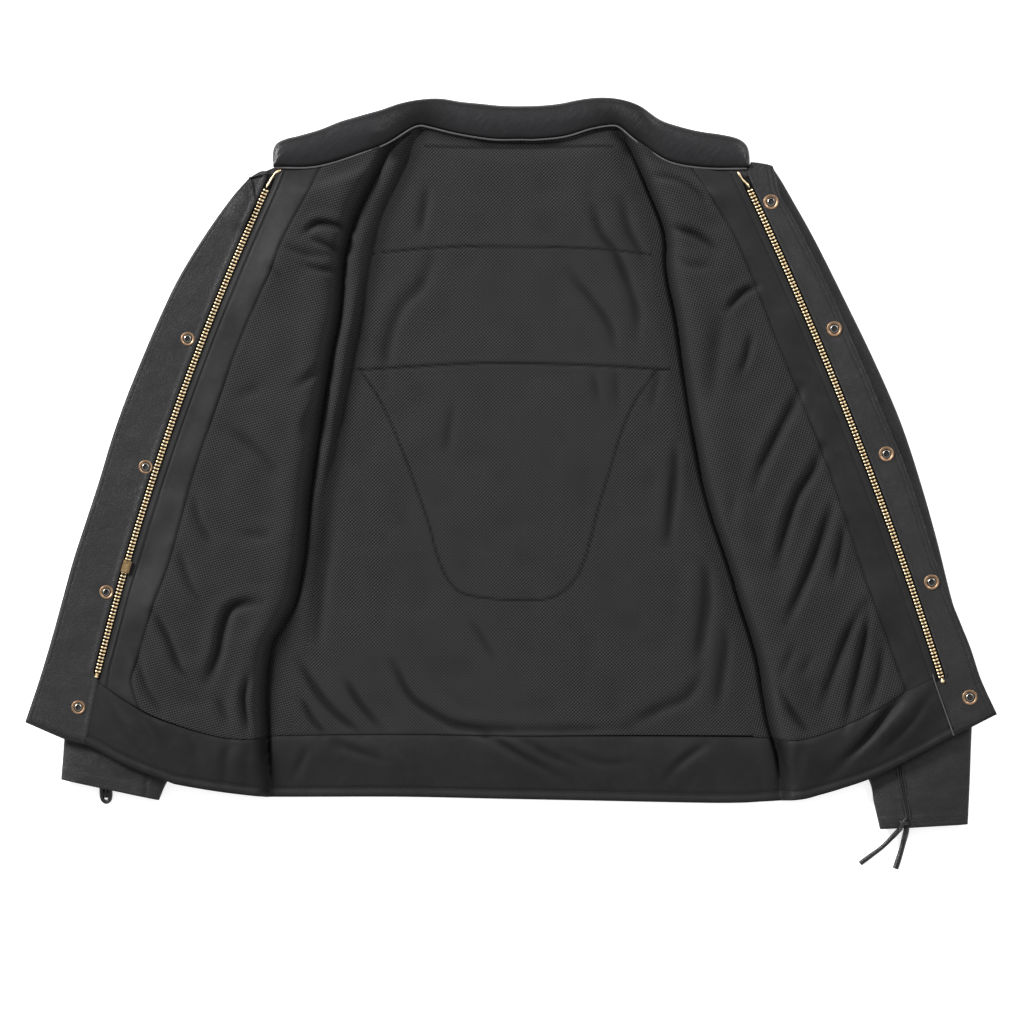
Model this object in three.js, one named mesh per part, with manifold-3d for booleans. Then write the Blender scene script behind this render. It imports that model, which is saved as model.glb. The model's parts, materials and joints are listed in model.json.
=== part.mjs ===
// A short leather work jacket with a stand collar, a brass front zip and a row of snaps. It lies on its back
// with both fronts opened outwards, so its lining faces up and its sleeves lie folded under the fronts.
// X runs across the jacket, Y runs from the hem to the collar, Z points up. Sizes are in millimetres.
import * as THREE from "three";
import { mergeVertices } from "three/addons/utils/BufferGeometryUtils.js";
import Module from "manifold-3d";

const wasm = await Module();
wasm.setup();

// ---------------------------------------------------------------- driving dimensions

// The size that is made, and the size that the base pattern below is drawn for.
const OPEN_WIDTH = 970; // across both opened fronts, from flap edge to flap edge
const BODY_LENGTH = 662; // from the neck seam to the hem, down the centre back
const PATTERN_WIDTH = 970;
const PATTERN_LENGTH = 662;

// Layers.
const LEATHER = 1.4;
const LINING = 1.0;
const TAPE = 0.8;
const SLEEVE_LINING = 0.8;
const LAYER_GAP = 0.3; // between layers, and between pieces that meet at a seam
const SEAM_GAP = 0.4;
const FOLD_GAP = 0.5; // between the pieces on the two sides of a side fold

// How the fronts lie on the sleeves.
const FOLD_HEIGHT = 15; // the side folds above the floor
const FRONT_TILT = THREE.MathUtils.degToRad(3.5);
const SLEEVE_TILT = THREE.MathUtils.degToRad(2); // flatter, so that the snaps clear the sleeve
const SKIN_DEPTH = 0.8; // the upper skin of a front below the axis of its fold
const SIDE_WIDTH = 20; // the strip of the back that rises to the side fold
const SLEEVE_CLEARANCE = 0.8; // between a sleeve and the front that lies on it
const SLEEVE_THICKNESS = 22;

// Bands sewn along edges.
const FACING_WIDTH = 37;
const HEM_BAND = 60;
const COLLAR_HEIGHT = 33;
const PIPING = 2.2;

// Zip.
const TEETH_WIDTH = 5.6;
const TEETH_HEIGHT = 2.4;
const TAPE_WIDTH = TEETH_WIDTH + 0.4; // the teeth stand inside the slot that the tape fills
const STOP_LENGTH = 13;
const STOP_WIDTH = 3.6;
const END_LENGTH = 5; // the pin and the box at the lower end of the zip
const SLIDER_LENGTH = 12;
const SLIDER_WALL = 0.9;
const SLIDER_PLACE = 0.785; // where the slider stands on its row of teeth, 0 at the top
const PULL_WIDTH = 4.2;
const PULL_LENGTH = 11;
const PULL_THICKNESS = 1;
const PULL_CORNER = 1.2;
const LUG_WIDTH = 1.4; // the lug on the slider that carries the pull
const LUG_LENGTH = 1.6;
const RUNNING_GAP = 0.4;

// Snaps.
const SNAP_DIAMETER = 15.4;
const SNAP_BARREL = 4.8;
const SNAP_HOLE = 3.6;
const SNAP_RIM = 0.7;
const SNAP_SIDES = 14;
const SNAP_ROLL = 0.5; // how far the rim's rolled edge leans in
const SOCKET_RING = 6.6; // across the raised ring
const EYELET_RING = 7.2;
const CAP_HEIGHT = 2;
const CAP_DOME = 1.6; // how far the dome leans in
const STUD_HEIGHT = 3;
const STUD_NECK = 5.8;
const STUD_MARGIN = 1.2; // by which the stud's flange is smaller than the eyelet

// Laces at the cuffs.
const LACE_WIDE = 5;
const LACE_THIN = 4;
const LACE_LOOP = 3;
const LACE_SIDES = 8;

// ---------------------------------------------------------------- base pattern

// Points of the base pattern, [across, along], from the centre of the opened jacket.
const NECK_SEAM = [
  [-241, 297],
  [-177, 302],
  [-127, 320],
  [-90, 340],
  [-59, 333],
  [5, 326],
  [70, 333],
  [101, 340],
  [123, 327],
  [156, 304.5],
  [203, 296],
  [243, 296.5],
];
// The upper edge of the collar, less the collar's height.
const COLLAR_LINE = [
  [-242, 272],
  [-234, 288],
  [-190, 302],
  [-150, 316],
  [-110, 329],
  [-80, 334],
  [-50, 331],
  [5, 326],
  [60, 331],
  [90, 335],
  [120, 330],
  [145, 317],
  [170, 305],
  [205, 298],
  [234, 291],
  [246, 272],
];
const BACK_HEM = [
  [-260, -333],
  [-110, -334],
  [90, -338],
  [270, -340],
];
const POCKET_SEAM = [
  [-149, 96],
  [-109, 18],
  [-76, -89],
  [-47, -128],
  [-16, -134],
  [45, -130],
  [79, -85],
  [114, 27],
  [147, 96],
];
const YOKE_SEAM_Y = 215;
const MIDDLE_SEAM_Y = 98;

const LEFT = {
  name: "left",
  side: -1,
  fold: { top: [-123, 323], bottom: [-235, -336] },
  zip: { top: [-243.5, 275], bottom: [-412, -209], bow: 12 },
  flapTop: [-259, 284],
  flapEdge: [
    [-261, 283],
    [-342, 164],
    [-376, 84],
    [-410, -16],
    [-436, -96],
    [-458, -176],
    [-484, -258],
  ],
  hem: [
    [-484, -258],
    [-421, -283],
    [-330, -320],
    [-240, -334],
  ],
  collarEnd: [-236, 297],
  snaps: [
    [-267, 252],
    [-322, 125],
    [-364, -3],
    [-403, -128],
    [-431, -243],
  ],
  sleeveOuter: [
    [-259, 282],
    [-300, 235],
    [-340, 160],
    [-398, -60],
    [-446, -275],
    [-450, -315],
  ],
  sleeveInner: [
    [-138, 286],
    [-178, 150],
    [-240, -40],
    [-310, -240],
    [-343, -338],
  ],
};

const RIGHT = {
  name: "right",
  side: 1,
  fold: { top: [118, 330], bottom: [245, -340] },
  zip: { top: [239.5, 275], bottom: [431, -214], bow: 9 },
  flapTop: [262, 298],
  flapEdge: [
    [263, 293],
    [278, 252],
    [328, 164],
    [368, 76],
    [400, -7],
    [424, -88],
    [448, -168],
    [472, -219],
    [486, -250],
  ],
  hem: [
    [486, -250],
    [441, -274],
    [359, -315],
    [310, -332],
    [245, -340],
  ],
  collarEnd: [239, 297],
  snaps: [
    [261, 262],
    [324, 135],
    [376, 10],
    [421, -118],
    [459, -233],
  ],
  sleeveOuter: [
    [263, 290],
    [316, 204],
    [382, 64],
    [428, -76],
    [461, -200],
    [459, -358],
  ],
  sleeveInner: [
    [136, 292],
    [190, 140],
    [255, -60],
    [320, -220],
    [370, -364],
  ],
};

// Where each lace leaves its cuff and lies on the floor, [across, along, height of its centre].
const LACES = [
  {
    name: "cuff_lace_right_long",
    width: LACE_THIN,
    route: [
      [392, -364.6, 11.4],
      [388, -369, 9.2],
      [382, -376, 5],
      [373, -385, 2.5],
      [363, -392.5, 2.1],
      [351.5, -401, 2.1],
    ],
  },
  {
    name: "cuff_lace_right_short",
    width: LACE_WIDE,
    route: [
      [397.5, -363.4, 11.4],
      [397, -369, 8.8],
      [395.5, -377, 4.6],
      [393, -387, 2.8],
      [390, -397, 2.6],
      [387, -406, 2.6],
    ],
  },
  {
    name: "cuff_lace_left_loop",
    width: LACE_LOOP,
    route: [
      [-411.5, -316, 5],
      [-411.5, -324, 4.4],
      [-411.5, -333, 2],
      [-409.8, -337.7, 1.6],
      [-405.5, -339.5, 1.6],
      [-401.2, -337.7, 1.6],
      [-399.5, -333, 2],
      [-399.5, -325.5, 4.4],
      [-399.5, -317, 5],
    ],
  },
  {
    name: "cuff_lace_left_end",
    width: LACE_LOOP,
    route: [
      [-405.5, -302, 5],
      [-405.5, -313, 5],
      [-405.5, -324.5, 4.4],
      [-405.5, -331, 2.4],
      [-405.5, -335.5, 1.8],
    ],
  },
];

// ---------------------------------------------------------------- materials

function finish(color, roughness, metalness) {
  return new THREE.MeshStandardMaterial({ color, roughness, metalness });
}

const OUTER_LEATHER = finish(0x3d3e3f, 0.55, 0);
const FACING_LEATHER = finish(0x2f2f30, 0.62, 0);
const MESH_LINING = finish(0x343436, 0.9, 0);
const ZIP_CLOTH = finish(0x18181b, 0.85, 0);
const BRASS = finish(0xc9a468, 0.3, 1);
const COPPER = finish(0xa87c5a, 0.35, 1);
const NICKEL = finish(0xcfd0d0, 0.25, 1);

// ---------------------------------------------------------------- geometry helpers

// A point of the base pattern, graded to the size that is made.
function graded([across, along]) {
  const x = (across * OPEN_WIDTH) / PATTERN_WIDTH;
  const y = (along * BODY_LENGTH) / PATTERN_LENGTH;
  return new THREE.Vector2(x, y);
}

// A smooth curve through pattern points.
function smooth(points, steps) {
  return new THREE.SplineCurve(points.map(graded)).getPoints(steps);
}

// A curve moved sideways, to its left for a positive distance.
function moved(curve, distance) {
  return curve.map((point, i) => {
    const before = curve[Math.max(i - 1, 0)];
    const after = curve[Math.min(i + 1, curve.length - 1)];
    const along = after.clone().sub(before).normalize();
    return new THREE.Vector2(point.x - along.y * distance, point.y + along.x * distance);
  });
}

// The closed outline between two curves that run the same way.
function between(first, second) {
  return [...first, ...[...second].reverse()];
}

// A flat piece from one height to another.
function plate(outline, low, high) {
  const shape = new THREE.Shape(outline);
  const made = new THREE.ExtrudeGeometry(shape, { depth: high - low, bevelEnabled: false });
  return made.translate(0, 0, low);
}

function solid(geometry) {
  const bare = geometry.clone();
  bare.deleteAttribute("normal");
  bare.deleteAttribute("uv");
  const merged = mergeVertices(bare, 1e-4);
  const vertProperties = new Float32Array(merged.attributes.position.array);
  const triVerts = new Uint32Array(merged.index.array);
  return new wasm.Manifold(new wasm.Mesh({ numProp: 3, vertProperties, triVerts }));
}

// The largest of the bodies that a cut leaves, so that a sliver at a corner is dropped.
function largest(made) {
  return made.decompose().sort((a, b) => b.volume() - a.volume())[0];
}

function geometryOf(made) {
  const mesh = made.getMesh();
  const geometry = new THREE.BufferGeometry();
  geometry.setAttribute("position", new THREE.BufferAttribute(mesh.vertProperties, 3));
  geometry.setIndex(new THREE.BufferAttribute(mesh.triVerts, 1));
  geometry.computeVertexNormals();
  return geometry;
}

function add(group, name, geometry, material) {
  const mesh = new THREE.Mesh(geometry, material);
  mesh.name = name;
  group.add(mesh);
  return mesh;
}

// A ring turned about its own Z axis, from a closed profile of [radius, height] points.
function turned(profile, sides) {
  const points = [...profile, profile[0]].map(([radius, height]) => new THREE.Vector2(radius, height));
  return new THREE.LatheGeometry(points, sides).rotateX(Math.PI / 2);
}

// ---------------------------------------------------------------- shared outlines

const FAR = 2000; // past every edge of the jacket
const ZIP_STEPS = 26; // straight pieces along each zip
const neckSeam = smooth(NECK_SEAM, 33);
const backHem = smooth(BACK_HEM, 12);

// The fold line of one side: a point at a height along the jacket, moved outwards by a distance.
function foldPoint(side, y, outwards) {
  const top = graded(side.fold.top);
  const bottom = graded(side.fold.bottom);
  const share = (top.y - y) / (top.y - bottom.y);
  const x = top.x + (bottom.x - top.x) * share;
  return new THREE.Vector2(x + (side.side * outwards) / Math.cos(foldSlope(side)), y);
}

function foldSlope(side) {
  const top = graded(side.fold.top);
  const bottom = graded(side.fold.bottom);
  return Math.atan2(Math.abs(bottom.x - top.x), top.y - bottom.y);
}

// The height of the top of a sleeve over a point of the floor, under its opened front.
function sleeveTop(side, point) {
  const fold = foldPoint(side, point.y, 0);
  const distance = side.side * (point.x - fold.x) * Math.cos(foldSlope(side));
  const depth = SKIN_DEPTH + 2 * LEATHER + LAYER_GAP;
  const room = FOLD_HEIGHT - depth - SLEEVE_CLEARANCE + distance * Math.tan(SLEEVE_TILT);
  return Math.min(room, SLEEVE_THICKNESS);
}

// The part of a curve between two places across the jacket, its ends cut exactly there.
function across(curve, from, to) {
  const at = (x) => {
    const i = curve.findIndex((point, k) => k > 0 && (point.x - x) * (curve[k - 1].x - x) <= 0);
    const share = (x - curve[i - 1].x) / (curve[i].x - curve[i - 1].x);
    return curve[i - 1].clone().lerp(curve[i], share);
  };
  const inside = curve.filter((point) => point.x > from && point.x < to);
  return [at(from), ...inside, at(to)];
}

// ---------------------------------------------------------------- back

const BACK_LINING_LOW = LEATHER + LAYER_GAP;

// The back from the neck seam to the hem and from fold to fold, less a distance on each side.
function backArea(low, high, inset) {
  const neck = moved(across(neckSeam, ...foldSpan(LEFT.fold.top, RIGHT.fold.top)), -SEAM_GAP);
  const hem = across(backHem, ...foldSpan(LEFT.fold.bottom, RIGHT.fold.bottom));
  const corners = [
    foldPoint(LEFT, FAR / 4, -inset),
    foldPoint(RIGHT, FAR / 4, -inset),
    foldPoint(RIGHT, -FAR / 4, -inset),
    foldPoint(LEFT, -FAR / 4, -inset),
  ];
  const whole = solid(plate(between(neck, hem), low, high));
  return largest(whole.intersect(solid(plate(corners, low - 1, high + 1))));
}

// The span between two pattern points, a little wider than they are apart.
function foldSpan(left, right) {
  return [graded(left).x - LEATHER, graded(right).x + LEATHER];
}

// The half of the floor below a curve that runs across the jacket, at given heights.
function belowCurve(curve, low, high) {
  const [first, last] = [curve[0], curve.at(-1)];
  const corners = [
    new THREE.Vector2(last.x + FAR * Math.sign(last.x - first.x), last.y),
    new THREE.Vector2(last.x + FAR * Math.sign(last.x - first.x), -FAR),
    new THREE.Vector2(first.x + FAR * Math.sign(first.x - last.x), -FAR),
    new THREE.Vector2(first.x + FAR * Math.sign(first.x - last.x), first.y),
  ];
  return solid(plate([...curve, ...corners], low, high));
}

function levelLine(y) {
  return [new THREE.Vector2(-FAR / 2, y), new THREE.Vector2(FAR / 2, y)];
}

function addBackLinings(group) {
  const low = BACK_LINING_LOW;
  const high = low + LINING;
  const whole = backArea(low, high, SIDE_WIDTH);
  const yokeSeam = graded([0, YOKE_SEAM_Y]).y;
  const middleSeam = graded([0, MIDDLE_SEAM_Y]).y;
  const under = (y) => belowCurve(levelLine(y), low - 1, high + 1);
  const hem = (gap) => belowCurve(moved(backHem, HEM_BAND + gap), low - 1, high + LEATHER);
  add(group, "lining_yoke", geometryOf(whole.subtract(under(yokeSeam))), MESH_LINING);
  const middle = whole.intersect(under(yokeSeam - SEAM_GAP)).subtract(under(middleSeam));
  add(group, "lining_middle", geometryOf(middle), MESH_LINING);
  const lower = whole.intersect(under(middleSeam - SEAM_GAP)).subtract(hem(SEAM_GAP));
  const pocketLine = smooth(POCKET_SEAM, 32);
  const pocketCut = solid(plate([...pocketLine, ...lift(pocketLine)], low - 1, high + 1));
  const pocketEdge = moved(pocketLine, SEAM_GAP);
  const pocket = solid(plate([...pocketEdge, ...lift(pocketEdge)], low - 1, high + 1));
  add(group, "lining_pocket", geometryOf(lower.intersect(pocket)), MESH_LINING);
  const sides = lower.subtract(pocketCut).decompose();
  sides.sort((a, b) => b.volume() - a.volume());
  add(group, "lining_lower", geometryOf(sides[0]), MESH_LINING);
  const facing = backArea(low, low + LEATHER, SIDE_WIDTH).intersect(hem(0));
  add(group, "hem_facing_back", geometryOf(facing), FACING_LEATHER);
}

// The two corners that close a pocket outline well above its upper seam.
function lift(curve) {
  const rise = new THREE.Vector2(0, SIDE_WIDTH);
  return [curve.at(-1).clone().add(rise), curve[0].clone().add(rise)];
}

// The strip of outer leather that rises from the back to the side fold.
function sideStrip(side) {
  const top = graded(side.fold.top);
  const bottom = graded(side.fold.bottom);
  const rise = FOLD_HEIGHT - LEATHER - 1;
  const profile = [
    [FOLD_GAP, rise],
    [FOLD_GAP, rise + LEATHER],
    [SIDE_WIDTH - SEAM_GAP, LEATHER],
    [SIDE_WIDTH - SEAM_GAP, 0],
  ].map(([inwards, z]) => new THREE.Vector2(-side.side * inwards, z));
  const spare = 2 * SIDE_WIDTH;
  const depth = top.distanceTo(bottom) + 2 * spare;
  const strip = new THREE.ExtrudeGeometry(new THREE.Shape(profile), { depth, bevelEnabled: false });
  strip.rotateX(Math.PI / 2).translate(0, spare, 0);
  strip.rotateZ(side.side * foldSlope(side)).translate(top.x, top.y, 0);
  return geometryOf(solid(strip).intersect(backArea(-1, FOLD_HEIGHT, FOLD_GAP)));
}

function addBack(group) {
  const panel = backArea(0, LEATHER, SIDE_WIDTH);
  add(group, "back_panel", geometryOf(panel), OUTER_LEATHER);
  for (const side of [LEFT, RIGHT]) {
    add(group, "side_panel_" + side.name, sideStrip(side), OUTER_LEATHER);
  }
  addBackLinings(group);
  const from = foldPoint(LEFT, graded(LEFT.fold.top).y, -FOLD_GAP).x;
  const to = foldPoint(RIGHT, graded(RIGHT.fold.top).y, -FOLD_GAP).x;
  const collar = collarBand(from, to);
  add(group, "collar_back", plate(collar, LEATHER, FOLD_HEIGHT - 1), OUTER_LEATHER);
  const seam = across(neckSeam, from + SIDE_WIDTH, to - SIDE_WIDTH);
  const pipingLow = BACK_LINING_LOW + LINING + LAYER_GAP;
  const piping = between(moved(seam, -SEAM_GAP - PIPING), moved(seam, -SEAM_GAP));
  add(group, "neck_piping", plate(piping, pipingLow, pipingLow + PIPING), OUTER_LEATHER);
}

// ---------------------------------------------------------------- collar

// The collar between two places across the jacket.
function collarBand(from, to) {
  const top = smooth(COLLAR_LINE, 40).map(({ x, y }) => new THREE.Vector2(x, y + COLLAR_HEIGHT));
  return between(moved(across(neckSeam, from, to), SEAM_GAP), across(top, from, to));
}

// ---------------------------------------------------------------- fronts

// The row of teeth: a circular arc through its two ends, which bows outwards.
function zipArc(side) {
  const top = graded(side.zip.top);
  const bottom = graded(side.zip.bottom);
  const middle = top.clone().lerp(bottom, 0.5);
  const chord = bottom.clone().sub(top);
  const outwards = new THREE.Vector2(-side.side * chord.y, side.side * chord.x).normalize();
  const half = chord.length() / 2;
  const radius = (half * half + side.zip.bow ** 2) / (2 * side.zip.bow);
  const centre = middle.clone().addScaledVector(outwards, side.zip.bow - radius);
  const start = Math.atan2(top.y - centre.y, top.x - centre.x);
  let turn = Math.atan2(bottom.y - centre.y, bottom.x - centre.x) - start;
  if (turn > Math.PI) turn -= 2 * Math.PI;
  if (turn < -Math.PI) turn += 2 * Math.PI;
  return { centre, radius, start, turn, length: radius * Math.abs(turn) };
}

// The point at a share of the arc, moved outwards by a distance.
function arcPoint(arc, share, outwards) {
  const angle = arc.start + arc.turn * share;
  const reach = arc.radius + outwards;
  return new THREE.Vector2(arc.centre.x + reach * Math.cos(angle), arc.centre.y + reach * Math.sin(angle));
}

// The band between two distances from the arc, and between two shares of its length.
function arcBand(arc, inner, outer, from, to, steps) {
  const shares = Array.from({ length: steps + 1 }, (_, i) => from + ((to - from) * i) / steps);
  const edge = (outwards) => shares.map((share) => arcPoint(arc, share, outwards));
  return between(edge(inner), edge(outer));
}

// Heights in a front, measured from the axis of its fold.
const SKIN = -SKIN_DEPTH;
const SHELL_TOP = SKIN - LEATHER - LAYER_GAP;
const SHELL_LOW = SHELL_TOP - LEATHER;
const INNER_LOW = SKIN - LEATHER;
const TEETH_LOW = INNER_LOW + TAPE + LAYER_GAP;
const TEETH_TOP = TEETH_LOW + TEETH_HEIGHT;

function frontOutline(side) {
  const top = foldPoint(side, graded(side.fold.top).y, FOLD_GAP);
  const end = graded(side.collarEnd);
  const [from, to] = [Math.min(top.x, end.x), Math.max(top.x, end.x)];
  let neck = moved(across(neckSeam, from, to), -SEAM_GAP);
  if (side.side < 0) neck = neck.reverse();
  const edge = smooth(side.flapEdge, 20);
  const hem = smooth(side.hem, 14).slice(1);
  const foot = foldPoint(side, hem.at(-1).y, FOLD_GAP);
  const outsideFold = hem.filter((point) => side.side * (point.x - foot.x) > 1);
  return [...neck, graded(side.flapTop), ...edge, ...outsideFold, foot];
}

// Where a snap stands: its pattern point, or further outwards where it would touch the teeth.
function snapPlace(side, point) {
  const arc = zipArc(side);
  const place = graded(point).sub(arc.centre);
  const least = arc.radius + TEETH_WIDTH / 2 + RUNNING_GAP + SNAP_DIAMETER / 2;
  return place.setLength(Math.max(place.length(), least)).add(arc.centre);
}

function snapHoles(side, low, high) {
  const radius = SNAP_BARREL / 2 + LAYER_GAP;
  return side.snaps.map((point) => {
    const { x, y } = snapPlace(side, point);
    const hole = new THREE.CylinderGeometry(radius, radius, high - low, SNAP_SIDES).rotateX(Math.PI / 2);
    return solid(hole.translate(x, y, (low + high) / 2));
  });
}

function without(made, cutters) {
  return cutters.reduce((rest, cutter) => rest.subtract(cutter), made);
}

function addFront(group, side) {
  const arc = zipArc(side);
  const outline = frontOutline(side);
  const holes = snapHoles(side, SHELL_LOW - 1, SKIN + 1);
  const shell = without(solid(plate(outline, SHELL_LOW, SHELL_TOP)), holes);
  add(group, "front_shell_" + side.name, geometryOf(shell), OUTER_LEATHER);

  const inner = solid(plate(outline, INNER_LOW, SKIN));
  const half = TAPE_WIDTH / 2 + LAYER_GAP;
  const band = (from, to, top, bottom) =>
    solid(plate(arcBand(arc, from, to, top, bottom, ZIP_STEPS), INNER_LOW - 1, SKIN + 1));
  const hemLine = smooth(side.hem, 14);
  const hem = (gap) =>
    belowCurve(moved(hemLine, -side.side * (HEM_BAND + gap)), INNER_LOW - 1, SKIN + 1);

  const reach = FAR / 4;
  const facing = inner.intersect(band(-FACING_WIDTH, -half, -0.2, 1.3)).subtract(hem(SEAM_GAP));
  add(group, "facing_" + side.name, geometryOf(largest(facing)), FACING_LEATHER);
  const liningArea = solid(plate(outline, INNER_LOW, INNER_LOW + LINING));
  const liningBand = band(-reach, -FACING_WIDTH - SEAM_GAP, -0.3, 1.4);
  const lining = liningArea.intersect(liningBand).subtract(hem(SEAM_GAP));
  add(group, "front_lining_" + side.name, geometryOf(largest(lining)), MESH_LINING);
  const hemFacing = inner.intersect(band(-reach, -half, -0.3, 1.4)).intersect(hem(0));
  add(group, "hem_facing_" + side.name, geometryOf(largest(hemFacing)), FACING_LEATHER);

  const tapeEnd = 1 + (END_LENGTH + LAYER_GAP) / arc.length;
  const beside = band(half, reach, -0.3, 1.4);
  const below = band(-half + SEAM_GAP, reach, tapeEnd + LAYER_GAP / arc.length, 1.4);
  const flap = without(inner.intersect(beside.add(below)), holes);
  add(group, "storm_flap_" + side.name, geometryOf(largest(flap)), OUTER_LEATHER);

  const tapeShape = arcBand(arc, -TAPE_WIDTH / 2, TAPE_WIDTH / 2, -STOP_LENGTH / arc.length, tapeEnd, ZIP_STEPS);
  add(group, "zip_tape_" + side.name, plate(tapeShape, INNER_LOW, INNER_LOW + TAPE), ZIP_CLOTH);
  addZipMetal(group, side, arc);
  addFrontCollar(group, side);
}

function addZipMetal(group, side, arc) {
  const gap = LAYER_GAP / arc.length;
  const teeth = arcBand(arc, -TEETH_WIDTH / 2, TEETH_WIDTH / 2, 0, 1, ZIP_STEPS);
  add(group, "zip_teeth_" + side.name, plate(teeth, TEETH_LOW, TEETH_TOP), BRASS);
  const stop = arcBand(arc, -STOP_WIDTH / 2, STOP_WIDTH / 2, -STOP_LENGTH / arc.length, -gap, 2);
  add(group, "top_stop_" + side.name, plate(stop, TEETH_LOW, TEETH_TOP), BRASS);
  const endName = side.side < 0 ? "insertion_pin" : "retainer_box";
  const endTo = 1 + END_LENGTH / arc.length;
  const end = arcBand(arc, -TEETH_WIDTH / 2, TEETH_WIDTH / 2, 1 + gap, endTo, 2);
  add(group, endName, plate(end, TEETH_LOW, TEETH_TOP), BRASS);
}

function addFrontCollar(group, side) {
  const near = foldPoint(side, graded(side.fold.top).y, FOLD_GAP).x;
  const end = graded(side.collarEnd).x;
  const band = collarBand(Math.min(near, end), Math.max(near, end));
  add(group, "collar_" + side.name, plate(band, SHELL_LOW, SKIN), OUTER_LEATHER);
}

// ---------------------------------------------------------------- slider and pull

function addSlider(group, side) {
  const arc = zipArc(side);
  const place = arcPoint(arc, SLIDER_PLACE, 0);
  const ahead = arcPoint(arc, SLIDER_PLACE - 0.01, 0).sub(place);
  const slider = new THREE.Group();
  slider.position.set(place.x, place.y, 0);
  slider.rotation.z = Math.atan2(ahead.y, ahead.x) - Math.PI / 2;
  group.add(slider);

  // A saddle over the teeth: a top plate with two walls, and a lug that carries the pull.
  const halfInside = TEETH_WIDTH / 2 + RUNNING_GAP;
  const halfOutside = halfInside + SLIDER_WALL;
  const foot = SKIN + RUNNING_GAP;
  const roof = TEETH_TOP + RUNNING_GAP;
  const crown = roof + SLIDER_WALL;
  const section = [
    [-halfOutside, foot],
    [-halfInside, foot],
    [-halfInside, roof],
    [halfInside, roof],
    [halfInside, foot],
    [halfOutside, foot],
    [halfOutside, crown],
    [-halfOutside, crown],
  ].map(([x, z]) => new THREE.Vector2(x, z));
  const body = new THREE.ExtrudeGeometry(new THREE.Shape(section), {
    depth: SLIDER_LENGTH,
    bevelEnabled: false,
  });
  body.rotateX(Math.PI / 2).translate(0, SLIDER_LENGTH / 2, 0);
  const pinHeight = PULL_THICKNESS / 2 + RUNNING_GAP;
  const pinPlace = SLIDER_LENGTH / 2 - LUG_LENGTH / 2;
  const lugHeight = pinHeight + LUG_LENGTH / 2;
  const lug = new THREE.BoxGeometry(LUG_WIDTH, LUG_LENGTH, lugHeight + SLIDER_WALL / 2);
  lug.translate(0, pinPlace, crown + lugHeight / 2 - SLIDER_WALL / 4);
  add(slider, "zip_slider", geometryOf(solid(body).add(solid(lug))), BRASS);

  // The pull: a flat tab with a slot for the lug, which lies back over the slider.
  const pull = new THREE.Group();
  pull.position.set(0, pinPlace, crown + pinHeight);
  slider.add(pull);
  const half = PULL_WIDTH / 2;
  const slot = LUG_WIDTH / 2 + RUNNING_GAP;
  const slotEnd = -Math.hypot(LUG_LENGTH / 2, LUG_LENGTH / 2) - RUNNING_GAP;
  const ear = PULL_THICKNESS / 2;
  const tab = [
    [-half, ear],
    [-slot, ear],
    [-slot, slotEnd],
    [slot, slotEnd],
    [slot, ear],
    [half, ear],
    [half, -PULL_LENGTH + PULL_CORNER],
    [half - PULL_CORNER, -PULL_LENGTH],
    [-half + PULL_CORNER, -PULL_LENGTH],
    [-half, -PULL_LENGTH + PULL_CORNER],
  ].map(([x, y]) => new THREE.Vector2(x, y));
  const tabPlate = plate(tab, -PULL_THICKNESS / 2, PULL_THICKNESS / 2);
  add(pull, "pull_tab", tabPlate, BRASS);
}

// ---------------------------------------------------------------- snaps

// The eyelet that shows inside the flap: a rolled rim, a raised ring and a barrel through the leather.
function snapEyelet(ringWidth) {
  const rim = SNAP_DIAMETER / 2;
  const ring = ringWidth / 2;
  const low = SKIN + LAYER_GAP;
  const barrel = SNAP_BARREL / 2;
  const hole = SNAP_HOLE / 2;
  return turned(
    [
      [hole, SHELL_LOW],
      [barrel, SHELL_LOW],
      [barrel, low],
      [rim, low],
      [rim - SNAP_ROLL, low + SNAP_RIM],
      [(rim + ring) / 2, low + SNAP_RIM * 0.6],
      [ring, low + SNAP_RIM * 1.9],
      [hole, low + SNAP_RIM],
    ],
    SNAP_SIDES,
  );
}

// The half that shows on the outside: a domed cap, or a stud with a neck that the socket grips.
function snapOutside(isCap) {
  const rim = isCap ? SNAP_DIAMETER / 2 : SNAP_DIAMETER / 2 - STUD_MARGIN;
  const top = SHELL_LOW - LAYER_GAP;
  const neck = isCap ? rim - CAP_DOME : STUD_NECK / 2;
  const tip = top - (isCap ? CAP_HEIGHT : STUD_HEIGHT);
  return turned(
    [
      [0, tip],
      [neck, tip + LAYER_GAP],
      [isCap ? rim : neck - SNAP_ROLL, top - SNAP_RIM],
      [rim, top],
      [0, top],
    ],
    SNAP_SIDES,
  );
}

function addSnaps(group, side) {
  const right = side.side > 0;
  side.snaps.forEach((point, i) => {
    const { x, y } = snapPlace(side, point);
    const [insideName, outsideName] = right ? ["snap_socket_", "snap_cap_"] : ["snap_eyelet_", "snap_stud_"];
    const inside = add(group, insideName + (i + 1), snapEyelet(right ? SOCKET_RING : EYELET_RING), COPPER);
    const outside = add(group, outsideName + (i + 1), snapOutside(right), right ? COPPER : NICKEL);
    inside.position.set(x, y, 0);
    outside.position.set(x, y, 0);
  });
}

// ---------------------------------------------------------------- sleeves

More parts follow.
